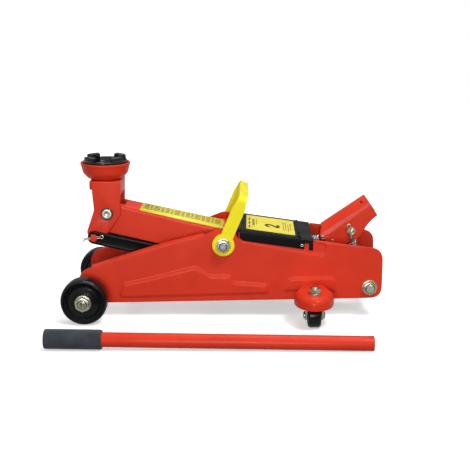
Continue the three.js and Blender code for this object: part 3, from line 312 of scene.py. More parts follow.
def threaded(radius: float, start: float, end: float, pitch: float = 1.5) -> list[Point]:
    """Profile of a screw thread as grooves side by side, ending in a chamfer.

    Args:
        radius: Its outer radius.
        start: Height where it begins.
        end: Height of the screw's end.
        pitch: Height of one groove.

    Returns:
        Points as (radius, height), the last one on the axis.
    """
    depth, chamfer = 0.55, 1.0
    points = [(radius, start)]
    for k in range(max(1, int((end - start - chamfer) / pitch))):
        base = start + k * pitch
        points += [(radius, base + 0.2 * pitch), (radius - depth, base + 0.5 * pitch),
                   (radius, base + 0.8 * pitch)]
    return [*points, (radius, end - chamfer), (radius - chamfer, end), (0, end)]


# ------------------------------------------------------------------ meshes
class Shell:
    """A mesh in the making: turned, lofted and swept parts drawn in millimetres."""

    def __init__(self) -> None:
        """Start with nothing."""
        self.mesh = bmesh.new()

    def ring(self, points: Iterable[Vector]) -> list[bmesh.types.BMVert]:
        """Add a ring of corners, placed in metres."""
        return [self.mesh.verts.new(Vector(point) * MM) for point in points]

    def loft(self, rings: Sequence[Sequence[Vector]], capped: bool = True, closed: bool = False,
             around: bool = True) -> "Shell":
        """Join rings into a skin.

        Args:
            rings: Rings of equal count; one that is a single point closes to it.
            capped: Whether the first and last ring are filled, where the skin isn't closed.
            closed: Whether the last ring is joined to the first.
            around: Whether each ring returns to its first point.

        Returns:
            This shell.
        """
        made = [self.ring(points) for points in rings]
        for lower, upper in itertools.pairwise([*made, made[0]] if closed else made):
            count = max(len(lower), len(upper))
            for i in range(count if around else count - 1):
                j = (i + 1) % count
                corners = [lower[i % len(lower)], lower[j % len(lower)],
                           upper[j % len(upper)], upper[i % len(upper)]]
                distinct = list(dict.fromkeys(corners))
                if len(distinct) > 2:
                    self.mesh.faces.new(distinct)
        if capped and not closed:
            self.mesh.faces.new(made[0])
            self.mesh.faces.new(made[-1])
        return self

    def skin(self, rows: Sequence[Sequence[Vector]]) -> "Shell":
        """Join open rows of equal count into a sheet without thickness."""
        return self.loft(rows, capped=False, around=False)

    def turn(self, profile: Sequence[Point], place: Matrix, segments: int = 48,
             closed: bool = False) -> "Shell":
        """Turn a profile about the placing's own Z.

        Args:
            profile: Points as (radius, height).
            place: Where the axis goes, in millimetres.
            segments: Straight pieces round the axis.
            closed: Whether the profile returns to its start.

        Returns:
            This shell.
        """
        rings = []
        for radius, height in profile:
            round_it = circle(0, 0, radius, segments)[:segments if radius > 1e-4 else 1]
            rings.append([place @ Vector((x, y, height)) for x, y in round_it])
        return self.loft(rings, capped=False, closed=closed)

    def sweep(self, path: Sequence[Vector], radius: Callable[[float], float] | float,
              segments: int, closed: bool = False) -> "Shell":
        """Run a round section along a path.

        Args:
            path: Points in millimetres.
            radius: The wire's radius, or its radius at a share from 0 to 1 of the way.
            segments: Straight pieces round the section.
            closed: Whether the path returns to its start.

        Returns:
            This shell.
        """
        count = len(path)
        rings = []
        across: Vector | None = None
        for i, here in enumerate(path):
            ahead = path[(i + 1) % count] if closed else path[min(i + 1, count - 1)]
            behind = path[i - 1] if closed or i else here
            along = (ahead - behind).normalized()
            if across is None:
                across = along.orthogonal().normalized()
            across = (across - along * across.dot(along)).normalized()
            other = along.cross(across)
            size = radius if isinstance(radius, (int, float)) else radius(i / (count - 1))
            section = circle(0, 0, 1, segments)
            rings.append([here + (across * u + other * v) * size for u, v in section])
        return self.loft(rings, closed=closed)

    def hexagon(self, across: float, bore: float, low: float, high: float,
                place: Matrix) -> "Shell":
        """A hexagon nut with chamfered corners, or a bolt head where the bore is nought.

        Args:
            across: Size across flats.
            bore: Radius of its hole.
            low: Height of its seat along its own axis.
            high: Height of its top.
            place: Where its axis goes.

        Returns:
            This shell.
        """
        flat, count, sixth = across / 2, 48, math.pi / 3
        chamfer, bevel = flat * 0.96, 0.6
        turns = [2 * math.pi * k / count for k in range(count)]
        edge = [flat / math.cos((a + sixth / 2) % sixth - sixth / 2) for a in turns]
        drop = [max(0.0, r - chamfer) / 2 for r in edge]
        levels = [[(chamfer, low)] * count, [(r, low + d) for r, d in zip(edge, drop)],
                  [(r, high - d) for r, d in zip(edge, drop)], [(chamfer, high)] * count]
        if bore > 0:
            for r, h in ((bore + bevel, high), (bore, high - bevel), (bore, low)):
                levels.append([(r, h)] * count)
        rings = [[place @ Vector((r * math.cos(a), r * math.sin(a), h))
                  for (r, h), a in zip(level, turns)] for level in levels]
        return self.loft(rings, closed=bore > 0)

    def prism(self, outline: Sequence[Point], low: float, high: float, place: Matrix) -> "Shell":
        """A straight-sided solid over a simple outline."""
        return self.loft([[place @ Vector((u, v, h)) for u, v in outline] for h in (low, high)])

    def data(self) -> bpy.types.Mesh:
        """Finish the mesh, with its faces turned outwards.

        Returns:
            The mesh, in metres.
        """
        bmesh.ops.recalc_face_normals(self.mesh, faces=self.mesh.faces)
        made = bpy.data.meshes.new("shell")
        self.mesh.to_mesh(made)
        self.mesh.free()
        return made


def facing(mesh: bpy.types.Mesh, way: Way) -> bpy.types.Mesh:
    """Turn a sheet over where most of it looks away from a direction.

    Args:
        mesh: The sheet.
        way: The direction.

    Returns:
        The same mesh.
    """
    if sum(face.area * face.normal.dot(Vector(way.value)) for face in mesh.polygons) < 0:
        mesh.flip_normals()
    return mesh


def plate(outline: Sequence[Point], thickness: float, place: Matrix, edge: float,
          holes: Sequence[Sequence[Point]] = ()) -> bpy.types.Mesh:
    """A flat sheet cut to an outline, with rounded edges and holes.

    Args:
        outline: Its outer line.
        thickness: Sheet thickness.
        place: Takes (u, v, depth) to the jack's axes; depth runs from nought to the thickness.
        edge: Radius of the rounded edges.
        holes: Lines of its holes.

    Returns:
        The mesh, in metres.
    """
    curve = bpy.data.curves.new("plate", "CURVE")
    curve.dimensions = "2D"
    curve.fill_mode = "BOTH"
    curve.extrude = (thickness / 2 - edge) * MM
    curve.bevel_depth = edge * MM
    curve.bevel_resolution = 2
    curve.offset = -edge * MM
    for line in (outline, *holes):
        spline = curve.splines.new("POLY")
        spline.points.add(len(line) - 1)
        for point, (u, v) in zip(spline.points, line):
            point.co = (u * MM, v * MM, 0, 1)
        spline.use_cyclic_u = True
    blank = bpy.data.objects.new("plate", curve)
    made = bpy.data.meshes.new_from_object(blank)
    bpy.data.objects.remove(blank)
    shift = Matrix.Translation((0, 0, thickness / 2))
    made.transform(Matrix.Scale(MM, 4) @ place @ shift @ Matrix.Scale(1 / MM, 4))
    solid = bmesh.new()
    solid.from_mesh(made)
    bmesh.ops.remove_doubles(solid, verts=solid.verts, dist=0.004 * MM)
    bmesh.ops.recalc_face_normals(solid, faces=solid.faces)
    solid.to_mesh(made)
    solid.free()
    return made


def spun(corners: Sequence[Corner], place: Matrix, segments: int = 48, steps: int = 3,
         closed: bool = True) -> Shell:
    """A shell turned from corners of (radius, height, rounding) about the placing's own Z."""
    return Shell().turn(filleted(corners, steps, closed), place, segments, closed)


Form = Shell | bpy.types.Mesh


# ------------------------------------------------------------------ finishes
def linear(code: str) -> tuple[float, ...]:
    """An sRGB hex value as the linear colour that shaders work in."""
    parts = (int(code[i:i + 2], 16) / 255 for i in (1, 3, 5))
    return (*(p / 12.92 if p <= 0.04045 else ((p + 0.055) / 1.055) ** 2.4 for p in parts), 1.0)


def per_metre(size: float) -> float:
    """Texture scale at which one feature is about `size` millimetres across."""
    return 1000.0 / size


def add_node(tree: Tree, kind: str, feeds: dict[Any, Any] | None = None,
             **settings: Any) -> bpy.types.Node:
    """Add a shader node.

    Args:
        tree: Tree that it goes in.
        kind: Blender's name of the node's type.
        feeds: Value or linked socket for each of its inputs, by name or number.
        **settings: Properties of the node itself.

    Returns:
        The node.
    """
    node = tree.nodes.new(kind)
    for name, value in settings.items():
        setattr(node, name, value)
    for name, value in (feeds or {}).items():
        if isinstance(value, Socket):
            tree.links.new(value, node.inputs[name])
        else:
            node.inputs[name].default_value = value
    return node


def noise(tree: Tree, size: float, detail: float = 2.0, rough: float = 0.5) -> Socket:
    """Lay noise over the surface, from nought to one.

    Args:
        tree: Tree that it goes in.
        size: Width of one patch in millimetres.
        detail: Finer layers of noise.
        rough: Weight of those layers.

    Returns:
        The socket that carries it.
    """
    coords = add_node(tree, "ShaderNodeTexCoord").outputs["Object"]
    feeds = {"Vector": coords, "Scale": per_metre(size), "Detail": detail, "Roughness": rough}
    return add_node(tree, "ShaderNodeTexNoise", feeds).outputs["Fac"]


def ranged(tree: Tree, value: Socket, low: float, high: float, start: float = 0.3,
           end: float = 0.7) -> Socket:
    """A value stretched from one range, start to end, to another and held inside it."""
    feeds = {"Value": value, "From Min": start, "From Max": end, "To Min": low, "To Max": high}
    return add_node(tree, "ShaderNodeMapRange", feeds).outputs[0]


def mixed(tree: Tree, share: Socket, first: Any, second: Any) -> Socket:
    """Two colours mixed by a share of the second."""
    feeds = {0: share, 6: first, 7: second}
    return add_node(tree, "ShaderNodeMix", feeds, data_type="RGBA").outputs[2]


def maths(tree: Tree, operation: str, *values: Any) -> Socket:
    """Outcome of an operation on numbers."""
    return add_node(tree, "ShaderNodeMath", dict(enumerate(values)), operation=operation).outputs[0]


def measured(tree: Tree, operation: str, *values: Any) -> Socket:
    """Outcome of an operation that makes one number from vectors."""
    feeds = dict(enumerate(values))
    return add_node(tree, "ShaderNodeVectorMath", feeds, operation=operation).outputs["Value"]


def relief(tree: Tree, height: Socket, strength: float, depth: float, **more: Socket) -> Socket:
    """Normal bent by a height that rises a depth in millimetres."""
    feeds = {"Height": height, "Strength": strength, "Distance": depth * MM, **more}
    return add_node(tree, "ShaderNodeBump", feeds).outputs[0]


def surface(tree: Tree, colour: Socket, rough: Any, normal: Socket,
            more: dict[str, float]) -> Socket:
    """Shader of a surface from what drives it and its other inputs."""
    feeds = {"Base Color": colour, "Roughness": rough, "Normal": normal, **more}
    return add_node(tree, "ShaderNodeBsdfPrincipled", feeds).outputs[0]


def white_light(tree: Tree, kind: str, strength: Any) -> Socket:
    """An even white glow of the given kind of node."""
    return add_node(tree, kind, {"Color": linear("#FFFFFF"), "Strength": strength}).outputs[0]


@dataclass(frozen=True)
class Finish:
    """What a surface is made of; each kind of finish lays its own nodes."""

    name: str
    slot: str

    def made(self) -> bpy.types.Material:
        """Make the material, or find it where it was made before.

        Returns:
            The Blender material.
        """
        ready = bpy.data.materials.get(self.name)
        if ready:
            return ready
        material = bpy.data.materials.new(self.name)
        material.use_nodes = True
        tree = material.node_tree
        tree.nodes.clear()
        add_node(tree, "ShaderNodeOutputMaterial", {"Surface": self.lay(tree)})
        return material

    def lay(self, tree: Tree) -> Socket:
        """Lay the surface's nodes in a tree and return its shader's socket."""
        raise NotImplementedError


@dataclass(frozen=True)
class Enamel(Finish):
    """Stoving enamel sprayed on steel: a glossy film with a faint orange peel, thinner on edges."""

    colour: str = "#DA3A22"
    deep: str = "#C42E1A"
    worn: str = "#E5694B"
    roughness: float = 0.34
    gloss: float = 0.12
    peel: float = 2.4
    thin: float = 1.2
    # reach in millimetres of the painted shade in corners
    dusty: float = 14.0

    def lay(self, tree: Tree) -> Socket:
        """Film colour drifting a little, painted shade darkening the corners, and the peel's
        relief.

        Args:
            tree: The material's nodes.

        Returns:
            The shader's socket.
        """
        drift = ranged(tree, noise(tree, 45.0, 3.0), 0.0, 0.55)
        film = mixed(tree, drift, linear(self.colour), linear(self.deep))
        # thin film on the edges, seen where the rounded normal leaves the flat one
        soft = add_node(tree, "ShaderNodeBevel", {"Radius": self.thin * MM}, samples=4).outputs[0]
        flat = add_node(tree, "ShaderNodeNewGeometry").outputs["True Normal"]
        edge = ranged(tree, measured(tree, "DOT_PRODUCT", soft, flat), 0.4, 0.0, 0.78, 0.96)
        patch = ranged(tree, noise(tree, 7.0, 4.0, 0.65), 0.0, 1.0, 0.42, 0.62)
        film = mixed(tree, maths(tree, "MULTIPLY", edge, patch), film, linear(self.worn))
        # painted shade: ambient occlusion darkens corners and creases towards the deep colour
        room = {"Distance": self.dusty * MM}
        occlusion = add_node(tree, "ShaderNodeAmbientOcclusion", room, samples=4).outputs["AO"]
        painted_shade = ranged(tree, occlusion, 0.45, 0.0, 0.15, 0.75)
        film = mixed(tree, painted_shade, film, linear(self.deep))
        bump = relief(tree, noise(tree, self.peel, 1.0), 0.05, 0.4, Normal=soft)
        sheen = ranged(tree, noise(tree, 18.0), self.roughness - 0.05, self.roughness + 0.08)
        return surface(tree, film, sheen, bump, {
            "IOR": 1.5, "Specular IOR Level": self.gloss, "Coat Weight": 0.06,
            "Coat Roughness": 0.1,
        })


@dataclass(frozen=True)
class Plating(Finish):
    """Metal left bright or plated: patchy tint, fine scratches and a soft gloss."""

    colour: str = "#A2A8A0"
    tint: str = "#B9A878"
    tinted: float = 0.6
    roughness: float = 0.24
    grain: float = 3.0

    def lay(self, tree: Tree) -> Socket:
        """The plate's tint in patches, with a gloss that varies as finely as its grain.

        Args:
            tree: The material's nodes.

        Returns:
            The shader's socket.
        """
        cloud = ranged(tree, noise(tree, 5.0, 3.0, 0.6), 0.0, self.tinted)
        metal = mixed(tree, cloud, linear(self.colour), linear(self.tint))
        fine = noise(tree, self.grain, 3.0, 0.7)
        gloss = ranged(tree, fine, self.roughness - 0.08, self.roughness + 0.12)
        bump = relief(tree, noise(tree, 0.8), 0.08, 0.15)
        return surface(tree, metal, gloss, bump, {"Metallic": 1.0})


@dataclass(frozen=True)
class Casting(Finish):
    """Sand-cast iron dipped in black paint: grainy skin that glints on its raised grains."""

    colour: str = "#0D0F12"
    pale: str = "#1D2128"
    roughness: float = 0.15
    grit: float = 1.3

    def lay(self, tree: Tree) -> Socket:
        """Sand grains as relief, with a paint film that pools between them.

        Args:
            tree: The material's nodes.

        Returns:
            The shader's socket.
        """
        grains = noise(tree, self.grit, 3.0, 0.6)
        bare = ranged(tree, grains, 0.0, 0.7, 0.45, 0.7)
        film = mixed(tree, bare, linear(self.colour), linear(self.pale))
        gloss = ranged(tree, noise(tree, 6.0), self.roughness - 0.08, self.roughness + 0.15)
        bump = relief(tree, grains, 0.3, 0.4)
        return surface(tree, film, gloss, bump, {"IOR": 1.5, "Specular IOR Level": 0.4})


@dataclass(frozen=True)
class Moulded(Finish):
    """Moulded black plastic or rubber: an even skin with a fine grain and dull scuffs."""

    colour: str = "#08090A"
    scuffed: str = "#131416"
    roughness: float = 0.13
    grain: float = 0.7

    def lay(self, tree: Tree) -> Socket:
        """The mould's grain, and scuffs where it has rolled.

        Args:
            tree: The material's nodes.

        Returns:
            The shader's socket.
        """
        scuff = ranged(tree, noise(tree, 9.0, 4.0, 0.65), 0.0, 0.5, 0.5, 0.72)
        skin = mixed(tree, scuff, linear(self.colour), linear(self.scuffed))
        gloss = ranged(tree, noise(tree, 4.0, 3.0), self.roughness - 0.05, self.roughness + 0.12)
        bump = relief(tree, noise(tree, self.grain), 0.12, 0.2)
        return surface(tree, skin, gloss, bump, {"IOR": 1.5, "Specular IOR Level": 0.22})


@dataclass(frozen=True)
class Foam(Finish):
    """Closed-cell nitrile foam: a dull skin of small cells with a soft nap."""

    colour: str = "#22242D"
    # colour of the painted shade at the bottom of each cell
    pit: str = "#181A20"
    dust: str = "#4A535C"
    cell: float = 1.1

    def lay(self, tree: Tree) -> Socket:
        """Cells as pits, each darkened towards its bottom by painted shade; drawn a little wider
        than the real ones, so that they show.

        Args:
            tree: The material's nodes.

        Returns:
            The shader's socket.
        """
        coords = add_node(tree, "ShaderNodeTexCoord").outputs["Object"]
        feeds = {"Vector": coords, "Scale": per_metre(self.cell), "Randomness": 1.0}
        cells = add_node(tree, "ShaderNodeTexVoronoi", feeds).outputs["Distance"]
        # painted shade: the colour darkens towards the pit colour where the cells sink deepest
        deep = ranged(tree, cells, 0.7, 0.0, 0.1, 0.45)
        skin = mixed(tree, deep, linear(self.colour), linear(self.pit))
        cloud = ranged(tree, noise(tree, 16.0, 3.0), 0.0, 0.35)
        skin = mixed(tree, cloud, skin, linear(self.dust))
        return surface(tree, skin, 0.88, relief(tree, cells, 0.3, 0.35), {
            "IOR": 1.45, "Sheen Weight": 0.15, "Sheen Roughness": 0.5,
        })


@dataclass(frozen=True)
class Film(Finish):
    """Printed vinyl sheet or its ink: a thin, even, half-gloss film with faint ripples."""

    colour: str = "#F0E24A"
    faded: str = "#E2CF3A"
    roughness: float = 0.38

    def lay(self, tree: Tree) -> Socket:
        """Colour faded in patches, and ripples from being laid by hand.

        Args:
            tree: The material's nodes.

        Returns:
            The shader's socket.
        """
        fade = ranged(tree, noise(tree, 14.0, 3.0), 0.0, 0.7)
        colour = mixed(tree, fade, linear(self.colour), linear(self.faded))
        gloss = ranged(tree, noise(tree, 5.0), self.roughness - 0.06, self.roughness + 0.08)
        ripple = relief(tree, noise(tree, 8.0, 1.0), 0.05, 0.3)
        return surface(tree, colour, gloss, ripple, {"IOR": 1.48})


@dataclass(frozen=True)
class StudioPaper(Finish):
    """Plain pale backdrop paper: it takes the shadow, and shows white in gloss."""

    colour: str = "#F6F6F6"
    tooth: str = "#EDEDED"
    bounce: str = "#7C7C7C"
    lift: float = 0.48
    far_lift: float = 0.72

    def lay(self, tree: Tree) -> Socket:
        """Matt paper, lifted towards white for the camera and for gloss, with its shadow kept.

        Args:
            tree: The material's nodes.

        Returns:
            The shader's socket.
        """
        grain = ranged(tree, noise(tree, 3.0), 0.0, 0.15)
        tone = mixed(tree, grain, linear(self.colour), linear(self.tooth))
        rays = add_node(tree, "ShaderNodeLightPath").outputs
        shown = mixed(tree, rays["Is Camera Ray"], linear(self.bounce), tone)
        matt = add_node(tree, "ShaderNodeBsdfDiffuse", {"Color": shown}).outputs[0]
        seen = maths(tree, "MAXIMUM", rays["Is Camera Ray"], rays["Is Glossy Ray"])
        spot = add_node(tree, "ShaderNodeTexCoord").outputs["Object"]
        away = measured(tree, "LENGTH", spot)
        level = ranged(tree, away, self.lift, self.far_lift, 0.5, 1.6)
        glow = white_light(tree, "ShaderNodeEmission", maths(tree, "MULTIPLY", seen, level))
        return add_node(tree, "ShaderNodeAddShader", {0: matt, 1: glow}).outputs[0]


RED_ENAMEL = Enamel("red_stoving_enamel", "red_paint")
BLACK_ENAMEL = Enamel("black_stoving_enamel", "black_paint", "#0B0C0E", "#070809", "#262A30", 0.3,
                      0.05)
YELLOW_ENAMEL = Enamel("yellow_stoving_enamel", "yellow_paint", "#F8EC22", "#E8D40E", "#F9F08A",
                       0.32)
ZINC = Plating("zinc_plate_passivated", "zinc_plate")
BRIGHT_STEEL = Plating("turned_bright_steel", "bare_steel", "#9DA2A6", "#86898C", 0.5, 0.22, 2.0)
SPRING_WIRE = Plating("drawn_spring_wire", "bare_steel", "#C4C8CA", "#A9ADB0", 0.4, 0.28, 1.5)
# dark steel of the real clips, also used for the painted shade ring round the head pin
CLIP_STEEL_AND_GAP_SHADE = Plating("blackened_circlip_steel", "bare_steel", "#3B3D40", "#2A2B2D", 0.5, 0.35, 2.0)
CAST_IRON = Casting("black_painted_cast_iron", "black_casting")
HARD_RUBBER = Moulded("moulded_hard_rubber", "hard_rubber")
GRIP_FOAM = Foam("nitrile_foam_sleeve", "foam")
VINYL = Film("yellow_vinyl_label", "yellow_paint")
INK = Film("black_screen_ink", "black_paint", "#23241F", "#2E2F28", 0.45)
PAPER = StudioPaper("pale_backdrop_paper", "")


# ------------------------------------------------------------------ the workshop
def shown(name: str, data: Any) -> bpy.types.Object:
    """Put a new object in the scene.

    Args:
        name: Its name.
        data: Its mesh, lamp or camera.

    Returns:
        The object.
    """
    made = bpy.data.objects.new(name, data)
    bpy.context.scene.collection.objects.link(made)
    return made


@dataclass
class Workshop:
    """Puts pieces in the scene: names them, finishes them and hangs them on their bodies."""

    count: int = 0
    # smallest angle between two faces whose edge is rounded
    crest: float = math.radians(34)

    def dress(self, node: str, finish: Finish, edge: float) -> None:
        """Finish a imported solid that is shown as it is.

        Args:
            node: Its name.
            finish: Its material.
            edge: Radius that its sharp edges are rounded by.
        """
        solid = frame["nodes"][node]
        self.coat(solid, finish)
        solid.modifiers.new("weld", "WELD").merge_threshold = 0.005 * MM
        self.round_edges(solid, edge)
        self.count += 1
        log.info("%s: packed solid in %s", node, finish.name)

    def piece(self, name: str, form: Form, finish: Finish, body: str,
              stands_for: Sequence[str] = (), edge: float = 0.0, crease: float = 35.0,
              thickness: float = 0.0) -> bpy.types.Object:
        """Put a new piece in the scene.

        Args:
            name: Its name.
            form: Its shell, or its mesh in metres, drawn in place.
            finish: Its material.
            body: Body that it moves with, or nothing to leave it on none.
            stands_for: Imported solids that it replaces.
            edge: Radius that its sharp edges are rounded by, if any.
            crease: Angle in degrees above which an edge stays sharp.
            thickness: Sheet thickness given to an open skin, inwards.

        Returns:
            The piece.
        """
        mesh = form.data() if isinstance(form, Shell) else form
        mesh.name = name
        made = shown(name, mesh)
        self.coat(made, finish)
        if thickness:
            skin = made.modifiers.new("sheet", "SOLIDIFY")
            skin.thickness = thickness * MM
            skin.offset = -1
        if edge:
            self.round_edges(made, edge, flats=not thickness)
        else:
            mesh.set_sharp_from_angle(angle=math.radians(crease))
        if body:
            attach(made, body)
        if stands_for:
            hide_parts(*stands_for)
        self.count += 1
        log.info("%s: new piece in %s, rides on %s", name, finish.name, body or "two bodies")
        return made

    def stand_in(self, node: str, ending: str, form: Form, finish: Finish, **how: float) -> None:
        """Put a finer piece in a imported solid's place, its name the solid's with an ending."""
        self.piece(f"{node}_{ending}", form, finish, body_of(node), (node,), **how)

    def turned(self, node: str, profile: Sequence[Point], finish: Finish, closed: bool = False,
               soft: float = 0.5) -> None:
        """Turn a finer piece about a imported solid's crosswise axis, in its place.

        Args:
            node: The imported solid.
            profile: Points as (radius, height), the heights from the middle of its box.
            finish: Its material.
            closed: Whether the profile returns to its start.
            soft: Radius that each corner is rounded by.
        """
        line = softened(profile, soft, closed) if soft else profile
        shell = Shell().turn(line, aimed(centre(node), Way.FAR), closed=closed)
        self.stand_in(node, "turned", shell, finish)

    @staticmethod
    def coat(thing: bpy.types.Object, finish: Finish) -> None:
        """Give a piece its material and shade all its faces as curved.

        Args:
            thing: The piece.
            finish: The material, in place of any that it had.
        """
        mesh = thing.data
        mesh.materials.clear()
        mesh.materials.append(finish.made())
        stored = mesh.attributes.get("custom_normal")
        if stored:
            mesh.attributes.remove(stored)
        mesh.shade_smooth()

    def round_edges(self, thing: bpy.types.Object, edge: float, flats: bool = True) -> None:
        """Round the sharp edges of a piece.

        Args:
            thing: The piece.
            edge: Radius of the rounding.
            flats: Whether its large faces are shaded as flat.
        """
        bevel = thing.modifiers.new("edges", "BEVEL")
        bevel.width = edge * MM
        bevel.segments = 2
        bevel.limit_method = "ANGLE"
        bevel.angle_limit = self.crest
        bevel.use_clamp_overlap = True
        bevel.harden_normals = not flats
        if flats:
            weights = thing.modifiers.new("flats", "WEIGHTED_NORMAL")
            weights.weight = 80
            weights.keep_sharp = True


@dataclass
class Part:
    """A sub-assembly of the jack, whose pieces are put in the scene by a workshop."""

    shop: Workshop

    def build(self) -> None:
        """Build all of its pieces."""
        raise NotImplementedError


# ------------------------------------------------------------------ small hardware
@dataclass(frozen=True)
class NutOnWasher:
    """A hexagon nut with chamfered corners on a plain washer."""

    across: float
    bore: float
    height: float = 8.5
    washer: float = 1.6

    def build(self, shop: Workshop, node: str, way: Way) -> None:
        """Build it on a packed nut's seat.

        Args:
            shop: What puts it in the scene.
            node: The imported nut.
            way: Direction that it faces.
        """
        place = aimed(seat_of(node, way), way)
        rim = self.across * 0.63
        shell = spun([(self.bore, 0, 0), (rim, 0, 0.3), (rim, self.washer, 0.5),
                      (self.bore, self.washer, 0)], place)
        shell.hexagon(self.across, self.bore, self.washer + 0.1, self.height, place)
        shop.stand_in(node, "chamfered", shell, ZINC)


@dataclass(frozen=True)
class SplitPin:
    """A split pin through a cross hole: a round eye, and two legs bent apart."""

    length: float
    eye: float
    wire: float
    bend: float

    def line(self) -> list[Point]:
        """Follow the wire from one leg's end round the eye to the other's.

        Returns:
            Points as (run along the hole, distance aside) from the hole's middle.
        """
        half, spread, opening = self.length / 2, 1.15, 0.16 * math.pi
        knee = half - self.bend * 0.4
        leg = [(knee + math.sin(turn) * self.bend * 0.7,
                self.wire + (1 - math.cos(turn)) * self.bend)
               for turn in (k / 5 * spread for k in range(6))]
        eye = arc(self.eye, opening, 2 * math.pi - opening, 18, (-half - self.eye * 0.2, 0))
        return [*reversed(leg), *eye, *((run, -out) for run, out in leg)]

    def build(self, shop: Workshop, name: str, node: str, shift: Corner, along: Corner,
              aside: Corner) -> None:
        """Build the pin.

        Args:
            shop: What puts it in the scene.
            name: Name of the piece.
            node: Packed pin that its hole crosses, and that it moves with.
            shift: Middle of the hole from where that pin's axis meets the centre plane.
            along: Direction of the hole, from the eye to the legs.
            aside: Direction that the legs are spread in.
        """
        middle = on_axis(node) + Vector(shift)
        run_way, out_way = Vector(along).normalized(), Vector(aside).normalized()
        path = [middle + run_way * run + out_way * out for run, out in self.line()]
        shell = Shell().sweep(path, self.wire, 10)
        shop.piece(name, shell, ZINC, body_of(node), crease=60)


@dataclass(frozen=True)
class Spring:
    """A compression spring with closed ends."""

    radius: float
    turns: float
    wire: float = 0.9
    closing: float = 0.12
    turn_steps: int = 20

    def build(self, shop: Workshop, name: str, low: float, high: float,
              place: Matrix) -> bpy.types.Object:
        """Wind the spring, which is hung on no body.

        Args:
            shop: What puts it in the scene.
            name: Name of the piece.
            low: Height of its lower end along the placing's own Z.
            high: Height of its upper end.
            place: Where its axis goes.

        Returns:
            The piece.
        """
        steps = int(self.turns * self.turn_steps)
        path = []
        for k in range(steps + 1):
            share = k / steps
            climb = min(1.0, max(0.0, (share - self.closing) / (1 - 2 * self.closing)))
            height = low + self.wire + (high - low - 2 * self.wire) * climb
            angle = 2 * math.pi * self.turns * share
            spot = (self.radius * math.cos(angle), self.radius * math.sin(angle), height)
            path.append(place @ Vector(spot))
        mesh = Shell().sweep(path, self.wire, 8)
        return shop.piece(name, mesh, SPRING_WIRE, "", crease=80)


